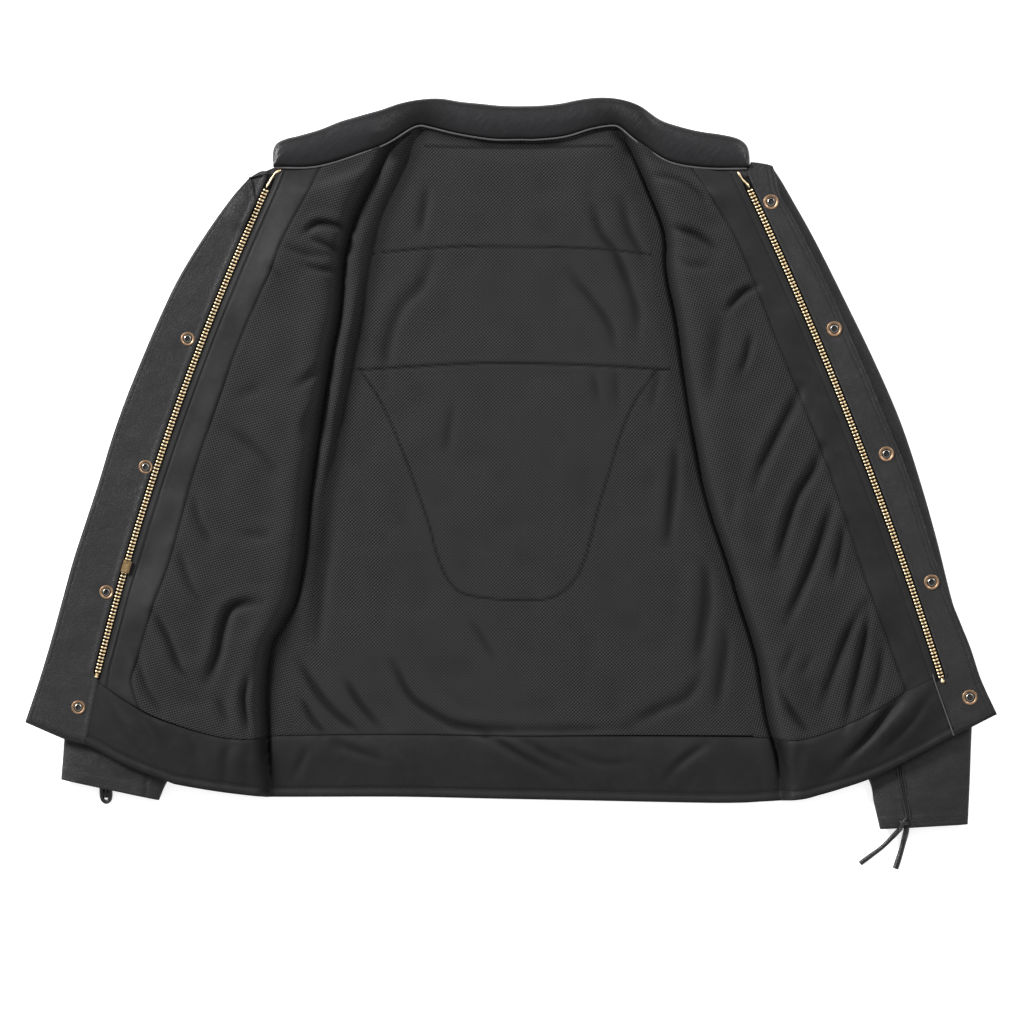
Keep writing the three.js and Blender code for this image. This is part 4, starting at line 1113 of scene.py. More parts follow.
def add_hem(s):
    """A front's part of the hem band, or the back's for side 0."""
    ends = {}
    for k in (LEFT, RIGHT):
        high, low = side_x[k](HEM_SEAM_END), side_x[k](HEM_END)
        ends[k] = np.array([(high, hem_seam_y(high)), (low, hem_y(low))])
    if s:
        columns = 110
        outer = np.array([(FOOT_TOP[s][0], hem_seam_y(FOOT_TOP[s][0])), ZIP_FOOT[s]])
        a, b = ordered(ends[s], outer, s)
    else:
        columns = 220
        a, b = ends[LEFT], ends[RIGHT]
    rows = 34
    left, right = even(a, rows), even(b, rows)
    top = part_of(HEM_SEAM, left[0][0], right[0][0], columns, 0)
    bottom = part_of(HEM, left[-1][0], right[-1][0], columns, 0)
    grid = coons(left, right, top, bottom)
    z, shade = hem_surface(grid)
    side = NAMES[s] if s else "back"
    if s:
        shade = np.maximum(shade, 0.8 * crease_shade(grid[..., 0], grid[..., 1], s))
    piece = slab("hem_band_" + side, with_height(grid, z), with_height(grid, z - LEATHER_THICK),
                 FACING, "facing_leather", grid, shade)
    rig.replaces(piece, "hem_facing_" + side)
    if s:
        bends(piece, s)
    else:
        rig.ride(piece, "back")
    declare_sheet(piece, with_height(grid, z), "laid", ["outer_front_" + side if s else "outer_back"])
    line = part_of(HEM, left[-1][0] + 2, right[-1][0] - 2, 200, 0) + np.array([0, HEM_STITCH])
    line = with_height(line[None], hem_surface(line[None])[0] + 0.15)[0]
    add_stitches("hem_stitches_" + side, line, STITCH, s, bend=bool(s))


def flap_curves(s, rows):
    """The zip side and the outer edge of a flap, each from its top to the hem."""
    arc = zip_arc(s, HALF_TAPE, 60)
    head = np.array(ZIP_HEAD[s]) + np.array([s * HALF_TAPE, 1.0])
    inner = even(np.vstack([head, arc, FOOT_TOP[s], ZIP_FOOT[s]]), rows)
    return inner, smooth(FLAP_EDGE[s], rows)


FLAP_GROOVES = {LEFT: (4.0,), RIGHT: (1.9, 6.4)}  # inwards of the edge; the last holds the stitches
FLAP_HEAD = {LEFT: [(-262, 284), (-250, 291), (-241, 292)],
             RIGHT: [(235.5, 291.0), (239.2, 300.6), (248, 299.4), (256, 297.8), (261.4, 296.0)]}
# Where painted shade lies in the hollow below the left corner seams.
CORNER_HOLLOW = [(-261, 272), (-265, 262), (-271, 248)]


def add_flap(s):
    """The strip between a zip and the front's outer edge, rolled down at its rim as exp(-(distance/1.3)^2),
    with grooves for its stitches; the right one ends in a round bead."""
    rows, columns = 280, 34
    inner, outer = flap_curves(s, rows)
    left, right = ordered(inner, outer, s)
    if s == LEFT:
        top = smooth(FLAP_HEAD[s], columns)
        bottom = part_of(HEM, -485, ZIP_FOOT[s][0], columns, 0)
    else:
        top = even(np.array(FLAP_HEAD[s]), columns)
        bottom = part_of(HEM, ZIP_FOOT[s][0], 485, columns, 0)
    grid = coons(left, right, top, bottom)
    x, y = grid[..., 0], grid[..., 1]
    base = plane(x, y, s)
    share = np.broadcast_to(np.linspace(0, 1, columns), x.shape)
    out = share if s == RIGHT else 1 - share
    width = np.linalg.norm(grid[:, :1] - grid[:, -1:], axis=2)
    from_edge = (1 - out) * width
    from_end = np.maximum(y - hem_y(x), 0)
    roll = np.minimum(from_edge, from_end)
    z = base + 0.55 * noise(x, y, 44, 21) + 0.2 * noise(x, y, 15, 22)
    z = z - 2.0 * bell(roll, 1.3)
    # Painted shade and highlight from the shape, and painted shade in each stitch groove.
    shade = relief(z, 5, 4.0)
    for distance in FLAP_GROOVES[s]:
        groove = bell(roll - distance, 0.8)
        z = z - 0.45 * groove
        shade = np.maximum(shade, 0.55 * groove)
    if s == RIGHT:
        # A painted highlight on the round bead, with painted shade just inside it.
        bead = bell(from_edge, 1.3)
        z = z + 2.4 * bead
        shade = np.where(from_edge < 1.6, -1.1 * bead, shade)
        shade = np.maximum(shade, 0.6 * bell(from_edge - 2.2, 0.9))
    else:
        # A painted highlight on the raised corner seams, with painted shade beside them.
        for points in CORNER_SEAMS:
            line = near_curve(x, y, smooth(points, 20), 1.1)
            beside = near_curve(x, y, smooth([(px + 1.8, py - 1.2) for px, py in points], 20), 0.9)
            z = z + 1.0 * line - 0.8 * beside
            shade = np.where(line > 0.3, -0.5 * line, shade)
            shade = np.maximum(shade, 0.7 * beside)
        cover = step((22 - np.hypot(x - SNAPS[LEFT][0][0], y - SNAPS[LEFT][0][1])) / 14)
        z = z + SNAP_COVER * cover
        # Painted shade in the hollow below the corner.
        shade = np.maximum(shade, 0.55 * near_curve(x, y, smooth(CORNER_HOLLOW, 20), 4.0))
    z = z + 0.8 * bell(out * width - 2, 2.0)
    # Darker along the rim and the lower end.
    from_foot = 0.85 * bell(from_end, 1.4)
    from_side = 0.85 * bell(from_edge, 1.2) if s == LEFT else 0.5 * bell(from_edge, 0.5)
    shade = np.maximum(shade, np.maximum(from_foot, from_side))
    low = np.minimum(base - LEATHER_THICK, z - 0.5)
    piece = slab("flap_" + NAMES[s], with_height(grid, z), with_height(grid, low),
                 OUTER, "outer_leather", grid, shade)
    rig.replaces(piece, "storm_flap_" + NAMES[s])
    rides(piece, s)
    declare_sheet(piece, with_height(grid, z), "laid", ["outer_front_" + NAMES[s]])
    add_flap_stitches(s, grid, z, out, width)


def add_flap_stitches(s, grid, z, out, width):
    """The stitches beside a flap's outer edge, on its own surface, and those along its lower end."""
    wanted = 1 - FLAP_GROOVES[s][-1] / width[:, 0]
    column = wanted if s == RIGHT else 1 - wanted
    column = column * (grid.shape[1] - 1)
    low = column.astype(int)
    share = (column - low)[:, None]
    surface = with_height(grid, z + 0.1)
    row = np.arange(len(grid))
    line = surface[row, low] * (1 - share) + surface[row, low + 1] * share
    add_stitches("flap_stitches_" + NAMES[s], line[4:-4], STITCH, s)
    foot = surface[-3, 3:-3] if s == LEFT else surface[-4, 3:-3]
    add_stitches("flap_foot_stitches_" + NAMES[s], foot, STITCH, s)


# ---------------------------------------------------------------- outer leather


def add_outer_back():
    """The back's outer leather, flat on the floor."""
    rows, columns = 120, 70
    left = part_of(SIDE[LEFT], BACK_END[LEFT], NECK_END, rows, 1)[::-1]
    right = part_of(SIDE[RIGHT], BACK_END[RIGHT], NECK_END, rows, 1)[::-1]
    top = part_of(NECK, left[0][0], right[0][0], columns, 0)
    bottom = part_of(HEM, left[-1][0], right[-1][0], columns, 0)
    grid = coons(left, right, top, bottom)
    flat = np.full(grid.shape[:2], FLOOR_LEATHER)
    piece = slab("outer_back", with_height(grid, flat), with_height(grid, flat - SHELL_THICK),
                 OUTER, "outer_leather", grid, 0 * flat)
    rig.replaces(piece, "back_panel")
    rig.ride(piece, "back")
    declare_sheet(piece, with_height(grid, flat), "laid")


def add_outer_front(s):
    """The side strip and the front's outer leather as one sheet that climbs beside the valley."""
    rows = 150
    side = part_of(SIDE[s], BACK_END[s], NECK_END, rows, 1)[::-1]
    valley = part_of(VALLEY[s], -340, VALLEY_TOP[s], rows, 1)[::-1]
    valley[0] = (valley[0][0], neck_y(valley[0][0]))
    valley[-1] = (valley[-1][0], hem_y(valley[-1][0]))
    _, outer = flap_curves(s, rows)
    strips = []
    for first, last, columns in ((side, valley, 14), (valley, outer, 70)):
        a, b = ordered(first, last, s)
        if last is outer:
            neck = part_of(NECK, *sorted((first[0][0], s * 236)), 40, 0)
            top = even(np.vstack(ordered(neck, [FLAP_EDGE[s][0]], s)), columns)
        else:
            top = part_of(NECK, a[0][0], b[0][0], columns, 0)
        bottom = part_of(HEM, a[-1][0], b[-1][0], columns, 0)
        strips.append(coons(a, b, top, bottom))
    grid = side_by_side(strips, s)
    x, y = grid[..., 0], grid[..., 1]
    z = shell_top(x, y, s)
    piece = slab("outer_front_" + NAMES[s], with_height(grid, z), with_height(grid, z - SHELL_THICK),
                 OUTER, "outer_leather", grid, 0 * z)
    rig.replaces(piece, "front_shell_" + NAMES[s], "side_panel_" + NAMES[s])
    bends(piece, s)
    declare_sheet(piece, with_height(grid, z), "folded", ["sleeve_tube_" + NAMES[s]])


# ---------------------------------------------------------------- collar and piping


def collar_base(x, y, back=5.0):
    """The height that the collar swells from: on the fronts it follows them, behind the neck it is lower."""
    z = np.full_like(x, back)
    for s in (LEFT, RIGHT):
        e = s * (x - valley_x[s](np.minimum(y, 330)))
        front = plane(x, y, s) - 2.0
        z = z + (front - z) * step((e + 30) / 60)
    return z


def collar_edge(low_x, high_x, columns):
    """The part of the collar's upper edge over a stretch of its seam, to the very end at a collar end."""
    curve = smooth(COLLAR_TOP, 900)

    def nearest(x):
        """The point of the edge nearest to a place across the jacket, on the same side of its middle."""
        half = slice(0, 450) if x < 0 else slice(450, 900)
        return half.start + int(np.argmin(np.abs(curve[half, 0] - x)))

    start = 0 if low_x == COLLAR_END[LEFT] else nearest(low_x)
    stop = len(curve) - 1 if high_x == COLLAR_END[RIGHT] else nearest(high_x)
    return even(curve[start:stop + 1], columns)


def add_collar(low_x, high_x, columns):
    """The collar between two places across the jacket, as its grid, upper face, lower face and shade. Its
    section swells as sin(pi t)^0.7 for a share t of the way up, less where the collar bends over."""
    rows = 26
    seam = part_of(NECK, low_x, high_x, columns, 0)
    edge = collar_edge(low_x, high_x, columns)
    t = np.linspace(1, 0, rows)[:, None, None]
    grid = seam[None] * (1 - t) + edge[None] * t
    x, y = grid[..., 0], grid[..., 1]
    up = np.broadcast_to(t[..., 0], x.shape)
    height = np.linalg.norm(edge - seam, axis=1)[None]
    from_top = (1 - up) * height
    from_seam = up * height
    from_end = np.minimum(x - COLLAR_END[LEFT], COLLAR_END[RIGHT] - x)
    bulge = COLLAR_SWELL * np.sin(np.pi * np.clip(up, 0, 1)) ** 0.7
    bend = sum(bell(x - place, 26) for place in COLLAR_BENDS)
    z = collar_base(x, y) + 1.6 + bulge * (1 - 0.35 * bend) + 0.7 * noise(x, y, 34, 31) + 2.0 * bend * up
    z = z - 1.6 * bell(from_top, 1.4)
    creases = 0.2 * noise((x + y) / 4.5, (x - y) / 1.1, 2.6, 33) * np.sin(np.pi * up)
    z = z + creases * (1 - 0.8 * np.minimum(bend, 1))
    groove = bell(from_top - COLLAR_STITCH_INSET, 0.8)
    tuck = bell(from_seam, 2.2)
    z = z - 0.45 * groove - 1.5 * tuck
    # Painted shade in the stitch groove, in the tuck at the seam and over the bends; darker along the top edge and the
    # ends.
    rim = np.maximum(0.85 * bell(from_top, 1.5), 0.75 * bell(from_end, 4.0))
    bend_shade = np.minimum(1.25 * bend * (1 - 0.2 * up), 0.95)
    shade = np.maximum.reduce([0.5 * groove, 0.7 * tuck, rim, bend_shade])
    return grid, z, collar_base(x, y, back=0.5), shade


COLLAR_SWELL = 5.0
COLLAR_BENDS = (-95, 112)  # where it bends over, beside the side folds
COLLAR_STITCH_INSET = 4.0
COLLAR_STITCH_ROW = 3
STITCH = 3.3  # from one stitch to the next


def add_collars():
    """The collar in three pieces, one on each front and one on the back, each with its stitches."""
    for s, low, high, columns in ((LEFT, COLLAR_END[LEFT], COLLAR_SPLIT[LEFT], 110),
                                  (0, COLLAR_SPLIT[LEFT], COLLAR_SPLIT[RIGHT], 140),
                                  (RIGHT, COLLAR_SPLIT[RIGHT], COLLAR_END[RIGHT], 110)):
        grid, z, base, shade = add_collar(low, high, columns)
        name = "collar_band_" + (NAMES[s] if s else "back")
        piece = slab(name, with_height(grid, z), with_height(grid, base), COLLAR, "outer_leather", grid,
                     shade)
        if s:
            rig.replaces(piece, "collar_" + NAMES[s])
            bends(piece, s)
        else:
            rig.replaces(piece, "collar_back")
            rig.ride(piece, "back")
        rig.padded(piece, fill=0.5)
        trim = slice(4, -4) if s else slice(0, None)
        row = with_height(grid, z + 0.1)[COLLAR_STITCH_ROW, trim]
        add_stitches("collar_stitches_" + (NAMES[s] if s else "back"), row, STITCH, s, bend=bool(s))


def tube(name, path, radius, material, slot, sides=10):
    """A round tube along a path of points in millimetres, with closed ends. Its rings stand square to the
    path, on axes from the path's direction and the vertical."""
    path = np.asarray(path, float)
    way = np.gradient(path, axis=0)
    way /= np.linalg.norm(way, axis=1)[:, None]
    flat = np.cross(way, np.array([0.0, 0.0, 1.0]))
    size = np.linalg.norm(flat, axis=1)
    flat = np.where(size[:, None] > 1e-3, flat / np.maximum(size, 1e-9)[:, None], np.array([1.0, 0, 0]))
    up = np.cross(flat, way)
    radius = np.broadcast_to(np.asarray(radius, float), (len(path),))
    angle = np.linspace(0, math.tau, sides, endpoint=False)
    rings = (path[:, None] + radius[:, None, None] * (flat[:, None] * np.cos(angle)[None, :, None]
             + up[:, None] * np.sin(angle)[None, :, None]))
    verts = np.concatenate([rings.reshape(-1, 3), path[:1], path[-1:]])
    faces = grid_faces(len(path), sides, closed=True)
    first, last = len(path) * sides, len(path) * sides + 1
    ring = np.arange(sides)
    following = (ring + 1) % sides
    end = (len(path) - 1) * sides
    caps = np.concatenate([np.stack([np.full(sides, first), ring, following], 1),
                           np.stack([np.full(sides, last), end + following, end + ring], 1)])
    if outward(verts, faces) < 0:
        faces, caps = faces[:, ::-1], caps[:, ::-1]
    return mesh_piece(name, verts, [faces, caps], material, slot)


def outward(verts, faces):
    """Positive where quads of a nearly closed surface face outwards: the signed volume they enclose."""
    p = verts[faces[:, 0]], verts[faces[:, 1]], verts[faces[:, 2]], verts[faces[:, 3]]
    centre = verts.mean(0)
    a, b, c, d = [q - centre for q in p]
    return float((a * np.cross(b, c)).sum() + (a * np.cross(c, d)).sum())


def add_piping():
    """The thin cord sewn in along the collar's seam, pale as a painted highlight."""
    for s, low, high, count in ((LEFT, -237, COLLAR_SPLIT[LEFT], 90),
                                (0, COLLAR_SPLIT[LEFT], COLLAR_SPLIT[RIGHT], 110),
                                (RIGHT, COLLAR_SPLIT[RIGHT], 236, 90)):
        line = part_of(NECK, low, high, count, 0)
        x, y = line[:, 0], line[:, 1]
        base = collar_base(x, y) + 1.9
        path = np.column_stack([x, y - 0.6, base])
        name = "neck_cord_" + (NAMES[s] if s else "back")
        piece = tube(name, path, 1.0, PIPING_PAINTED_HIGHLIGHT, "outer_leather")
        if s:
            bends(piece, s)
        else:
            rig.replaces(piece, "neck_piping")
            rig.ride(piece, "back")


# ---------------------------------------------------------------- stitching


def stitch_shape():
    """One stitch along X: rings of six at five stations, wider in the middle."""
    angle = np.linspace(0, math.tau, 6, endpoint=False)
    rings = [np.column_stack([np.full(6, x), r * np.cos(angle), 0.8 * r * np.sin(angle)])
             for x, r in ((-1.15, 0.14), (-0.8, 0.3), (0.0, 0.36), (0.8, 0.3), (1.15, 0.14))]
    verts = np.concatenate(rings)
    skin = grid_faces(5, 6, closed=True)
    caps = np.array([list(range(6)), [24 + k for k in range(6)][::-1]])
    if outward(verts, skin) < 0:
        skin = skin[:, ::-1]
    if cap_inward(verts, caps[0]):
        caps = caps[:, ::-1]
    return verts, skin, caps


def add_stitches(name, path, pitch, s, bend=False):
    """A row of stitches along a path of points in millimetres."""
    path = np.asarray(path, float)
    long = float(np.linalg.norm(np.diff(path, axis=0), axis=1).sum())
    points = even(path, int(long / pitch) + 1)
    way = np.gradient(points, axis=0)
    way /= np.linalg.norm(way, axis=1)[:, None]
    side = np.cross(np.array([0.0, 0.0, 1.0]), way)
    side /= np.linalg.norm(side, axis=1)[:, None]
    verts, faces = placed(stitch_shape(), (points, way, side, np.cross(way, side)))
    piece = mesh_piece(name, verts, faces, THREAD, "outer_leather")
    if bend:
        bends(piece, s)
    else:
        rides(piece, s)


# ---------------------------------------------------------------- sleeves

SLEEVES = {
    LEFT: {
        "outer": [(-262, 276), (-296, 236), (-336, 160), (-390, 20), (-428, -110), (-444, -220),
                  (-448, -280), (-451, -318)],
        "inner": [(-176, 262), (-192, 190), (-205, 100), (-222, 0), (-240, -100), (-276, -210),
                  (-318, -276), (-344, -319), (-353, -339)],
    },
    RIGHT: {
        "outer": [(263, 294.5), (271.5, 281.5), (283, 261.5), (305, 222), (335, 162), (364, 102), (390, 42),
                  (410, -18), (427, -78), (442, -138), (456, -184), (465, -232), (462, -266), (460, -320),
                  (458, -363)],
        "inner": [(176, 268), (182, 190), (196, 100), (212, 0), (244, -100), (280, -200), (330, -270),
                  (358, -317), (364, -342), (370, -368)],
    },
}
CUFF_SEAM = {
    LEFT: [(-362, -300), (-364, -314), (-367, -338)],
    RIGHT: [(384, -296), (388.3, -304), (393, -330), (397.5, -356), (399, -366)],
}
SLEEVE_CLEARANCE = 0.8  # between a sleeve and the front that lies on it
SLEEVE_HEIGHTS = (8, 22)  # the least and the greatest thickness of a sleeve
SLEEVE_LENGTH = 620.0
SLEEVE_GRID = {"outer": (220, 96), "lining": (120, 64)}  # sections along, points round
SLEEVE_DEPTHS = {"outer": (0.0, 1.5), "lining": (1.9, 2.6)}  # of the two faces of each layer


def sleeve_top(x, y, s):
    """The height of the top of a sleeve under its opened front, as in the CAD part."""
    room = FOLD_Z - SHELL_LOW - SLEEVE_CLEARANCE + fold_distance(x, y, s) * SLEEVE_SLOPE
    return np.clip(room, *SLEEVE_HEIGHTS)


def sleeve_loops(s, depth, sections, sides):
    """Loops of a flattened tube at a depth below its skin: superellipses |cos|^0.75, |sin|^0.6 between the
    inner and the outer edge, on the floor below and rippled above. The skin alone has the right cuff's
    seam."""
    inner, outer = smooth(SLEEVES[s]["inner"], sections), smooth(SLEEVES[s]["outer"], sections)
    skin = float(depth < 0.1)
    angle = np.linspace(0, math.tau, sides, endpoint=False)
    c, n = np.cos(angle), np.sin(angle)
    across = np.sign(c) * np.abs(c) ** 0.75
    lift = np.sign(n) * np.abs(n) ** 0.6
    span = outer - inner
    half = np.linalg.norm(span, axis=1)[:, None] / 2
    way = span / (2 * half)
    centre = (inner + outer) / 2
    flat = centre[:, None] + way[:, None] * ((half - depth) * across)[..., None]
    x, y = flat[..., 0], flat[..., 1]
    top = sleeve_top(x, y, s)
    z = top / 2 + (top / 2 - depth) * lift
    upper = np.clip(lift, 0, 1)
    ripple = 0.7 * noise(x, y, 26, 41) + 0.35 * noise(x, y, 11, 42) - 0.5
    z = z + ripple * upper
    if s == LEFT:
        z = z - 1.6 * upper * near_curve(x, y, smooth(CUFF_SEAM[s], 12), 1.3)
    else:
        line = smooth(CUFF_SEAM[s], 24)
        ridge = near_curve(x, y, line, 4.6)
        gap = near_curve(x, y, line, 1.1)
        z = z + upper * (1.7 * ridge - 3.0 * gap) * skin
    fold = step((np.linspace(0, 1, sections) - 0.955) / 0.045)[:, None]
    z = z - 0.5 * upper * bell(fold - 0.55, 0.1) * skin
    return np.stack([x, y, np.maximum(z, 0.15 + depth)], -1)


def add_sleeve_layer(s, layer, name, material, slot):
    """One layer of a sleeve as a tube with a wall, open at both ends and dark at the cuff's rim."""
    sections, sides = SLEEVE_GRID[layer]
    outer, inner = [sleeve_loops(s, depth, sections, sides) for depth in SLEEVE_DEPTHS[layer]]
    count = sections * sides
    skin = grid_faces(sections, sides, closed=True)
    ring = np.arange(sides)
    following = (ring + 1) % sides
    start = np.stack([ring, following, following + count, ring + count], 1)
    last = (sections - 1) * sides
    stop = np.stack([last + following, last + ring, last + ring + count, last + following + count], 1)
    verts = np.concatenate([outer.reshape(-1, 3), inner.reshape(-1, 3)])
    faces = [skin, skin[:, ::-1] + count, start, stop]
    if outward(verts, skin) < 0:
        faces = [f[:, ::-1] for f in faces]
    from_end = (1 - np.linspace(0, 1, sections))[:, None] * SLEEVE_LENGTH + np.zeros((sections, sides))
    rim = 0.85 * bell(from_end, 1.6)
    piece = mesh_piece(name, verts, faces, material, slot, uv=verts[:, :2], shade=np.tile(rim.ravel(), 2))
    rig.ride(piece, "back")
    return piece, outer[:, np.r_[0:sides, 0]]


def add_sleeves():
    """Both sleeves: an outer tube with two rows of stitches at the cuff, and the lining inside it."""
    for s in (LEFT, RIGHT):
        side = NAMES[s]
        piece, skin = add_sleeve_layer(s, "outer", "sleeve_tube_" + side, OUTER, "outer_leather")
        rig.replaces(piece, "sleeve_" + side)
        declare_sheet(piece, skin, "folded")
        loops = sleeve_loops(s, -0.1, *SLEEVE_GRID["outer"])
        for k, back_from_end in enumerate((2, 3)):
            add_stitches("cuff_stitches_%s_%d" % (side, k), loops[-back_from_end - 1, 4:45], STITCH, 0)
        piece, skin = add_sleeve_layer(s, "lining", "sleeve_inner_" + side, FRONT_MESH, "mesh_lining")
        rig.replaces(piece, "sleeve_lining_" + side)
        declare_sheet(piece, skin, "folded", ["sleeve_tube_" + side])


SHOULDER_LOW = 190.0  # the lower edge of the leather between a sleeve and the back


def add_shoulder(s):
    """The leather that joins a sleeve to the back under its front: it leaves the side of the body on the
    floor and climbs to the middle of the sleeve, which it closes at the top."""
    rows, columns = 40, 40
    y = np.linspace(304.0, SHOULDER_LOW, rows)
    body = np.column_stack([valley_x[s](y) + s * 1.0, y])
    cap = smooth([(s * 250, 279), (s * 226, 246), (s * 206, SHOULDER_LOW)], rows)
    left, right = ordered(body, cap, s)
    u = np.linspace(0, 1, columns)[None, :, None]
    grid = left[:, None] * (1 - u) + right[:, None] * u
    x, y = grid[..., 0], grid[..., 1]
    e = s * (x - valley_x[s](y))
    z = FLOOR_LEATHER + 4.0 * step(e / 28)
    piece = slab("shoulder_" + NAMES[s], with_height(grid, z), with_height(grid, z - 1.3),
                 OUTER, "outer_leather", grid, 0 * z)
    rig.ride(piece, "back")
    declare_sheet(piece, with_height(grid, z), "laid", ["sleeve_tube_" + NAMES[s]])


# ---------------------------------------------------------------- zip

PITCH = 3.5  # from one tooth to the next
TAPE_OVER_TEETH = 13.0  # how far the tape runs on past the highest and the lowest tooth
TAPE_UNDER_TEETH = 5.6
TAPE_THICK = 0.9


def frame_at(s, x, y, dz):
    """Points on a front at a height above its skin."""
    return np.stack([x, y, plane(x, y, s) + dz], -1)


def add_tape(s):
    """The woven tape under a row of teeth, thicker along its middle by a bell curve."""
    rows, columns = 240, 7
    start, end = -TAPE_OVER_TEETH / ZIP_LENGTH[s], 1 + TAPE_UNDER_TEETH / ZIP_LENGTH[s]
    inner = zip_arc(s, -HALF_TAPE + 0.2, rows, start, end)
    outer = zip_arc(s, HALF_TAPE - 0.2, rows, start, end)
    left, right = ordered(inner, outer, s)
    share = np.linspace(0, 1, columns)[None, :, None]
    grid = left[:, None] * (1 - share) + right[:, None] * share
    bead = 0.9 * bell(share[..., 0] - 0.5, 0.2)
    z = plane(grid[..., 0], grid[..., 1], s) - 1.2 + bead
    piece = slab("tape_" + NAMES[s], with_height(grid, z), with_height(grid, z - TAPE_THICK),
                 TAPE, "zip_tape", along_grid(grid), 0 * z)
    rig.replaces(piece, "zip_tape_" + NAMES[s])
    rides(piece, s)


def tooth_shape():
    """One tooth lying across the tape: a bar with a lobe at each end and a waist. Stations across at a, with
    half lengths along the tape and heights of its foot, shoulder and crown."""
    stations = [(-2.85, 0.45, 0.55), (-2.5, 0.92, 1.0), (-1.5, 1.05, 1.3), (-0.6, 0.62, 0.95),
                (0.6, 0.62, 0.95), (1.5, 1.05, 1.3), (2.5, 0.92, 1.0), (2.85, 0.45, 0.55)]
    rings = []
    for a, half, top in stations:
        ring = [(a, -half, -1.0), (a, half, -1.0), (a, half, top - 0.45), (a, 0.45 * half, top),
                (a, -0.45 * half, top), (a, -half, top - 0.45)]
        rings.append(ring)
    verts = np.array(rings, float).reshape(-1, 3)
    count, sides = len(stations), 6
    skin = grid_faces(count, sides, closed=True)
    caps = np.array([list(range(sides)), [(count - 1) * sides + k for k in range(sides)][::-1]])
    if outward(verts, skin) < 0:
        skin = skin[:, ::-1]
        caps = caps[:, ::-1]
    caps = caps[:, ::-1] if cap_inward(verts, caps[0]) else caps
    return verts, skin, caps


def cap_inward(verts, ring):
    """True where the cap at the low end of the first axis faces inwards."""
    a, b, c = verts[ring[0]], verts[ring[1]], verts[ring[2]]
    return np.cross(b - a, c - b)[0] > 0


def placed(shape, frames):
    """Copies of a shape (verts, quads, caps) at many (origin, x axis, y axis, z axis) frames, as one mesh."""
    verts, skin, caps = shape
    origins, xs, ys, zs = frames
    points = (origins[:, None] + verts[None, :, :1] * xs[:, None] + verts[None, :, 1:2] * ys[:, None]
              + verts[None, :, 2:] * zs[:, None]).reshape(-1, 3)
    shift = (np.arange(len(origins)) * len(verts))[:, None, None]
    return points, [(part[None] + shift).reshape(-1, part.shape[1]) for part in (skin, caps)]


def frames_on_front(s, points, way, dz):
    """Frames at points of a front: Y along a direction on it, X square to it, Z up from the front."""
    place = frame_at(s, points[:, 0], points[:, 1], dz)
    y_axis = np.column_stack([way, np.zeros(len(way))])
    y_axis /= np.linalg.norm(y_axis, axis=1)[:, None]
    z_axis = np.tile([0.0, 0.0, 1.0], (len(points), 1))
    return place, np.cross(y_axis, z_axis), y_axis, z_axis


def add_teeth(s):
    """A row of teeth at even steps along its arc, each turned a little by a seeded random draw."""
    count = int(ZIP_LENGTH[s] / PITCH)
    share = (np.arange(count) + 0.5) / count
    fine = 2001
    arc = zip_arc(s, 0.0, fine)
    at = np.interp(share, np.linspace(0, 1, fine), np.arange(fine))
    points = np.column_stack([np.interp(at, np.arange(fine), arc[:, k]) for k in (0, 1)])
    way = np.gradient(points, axis=0)
    random = np.random.default_rng(17 + s)
    frames = frames_on_front(s, points, way, 0.0)
    turn = random.normal(0, 0.02, count)[:, None]
    xs = frames[1] + frames[2] * turn
    ys = frames[2] - frames[1] * turn
    verts, faces = placed(tooth_shape(), (frames[0], xs, ys, frames[3]))
    piece = mesh_piece("teeth_" + NAMES[s], verts, faces, BRASS, "zip_brass", sharp=40)
    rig.replaces(piece, "zip_teeth_" + NAMES[s])
    rides(piece, s)


def rod(name, s, path, radii, material, slot, dz=0.2):
    """A rounded rod that lies on a front along a path."""
    path = smooth(path, 14)
    z = plane(path[:, 0], path[:, 1], s) + dz
    share = np.linspace(0, 1, len(path))
    radius = np.interp(share, np.linspace(0, 1, len(radii)), radii)
    return tube(name, np.column_stack([path, z]), radius, material, slot, 12)


STOPS = {
    LEFT: [(-244.6, 274.5), (-242, 279), (-238.5, 285), (-235.5, 289), (-230, 292)],
    RIGHT: [(238.4, 274.5), (236.5, 277.5), (232, 282), (229.3, 286), (227, 290)],
}
STOP_RADII = [0.6, 1.5, 0.9, 1.2, 0.6, 0.9, 1.6, 0.7]
FOOT_RADII = {"pin_end": [1.2, 2.2, 1.3, 2.3, 1.0], "box_end": [1.0, 1.4, 2.4, 2.4, 1.2]}


def add_zip_ends():
    """The top stops, and the pin and the box below the lowest teeth, as rods of changing width."""
    for s in (LEFT, RIGHT):
        piece = rod("stop_" + NAMES[s], s, STOPS[s], STOP_RADII, BRASS, "zip_brass", 0.4)
        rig.replaces(piece, "top_stop_" + NAMES[s])
        rides(piece, s)
    for s, name, node in ((LEFT, "pin_end", "insertion_pin"), (RIGHT, "box_end", "retainer_box")):
        line = zip_arc(s, 0, 12, 1 + 0.3 / ZIP_LENGTH[s], 1 + 5.0 / ZIP_LENGTH[s])
        piece = rod(name, s, line, FOOT_RADII[name], BRASS, "zip_brass", 0.2)
        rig.replaces(piece, node)
        rides(piece, s)


# ---------------------------------------------------------------- snaps


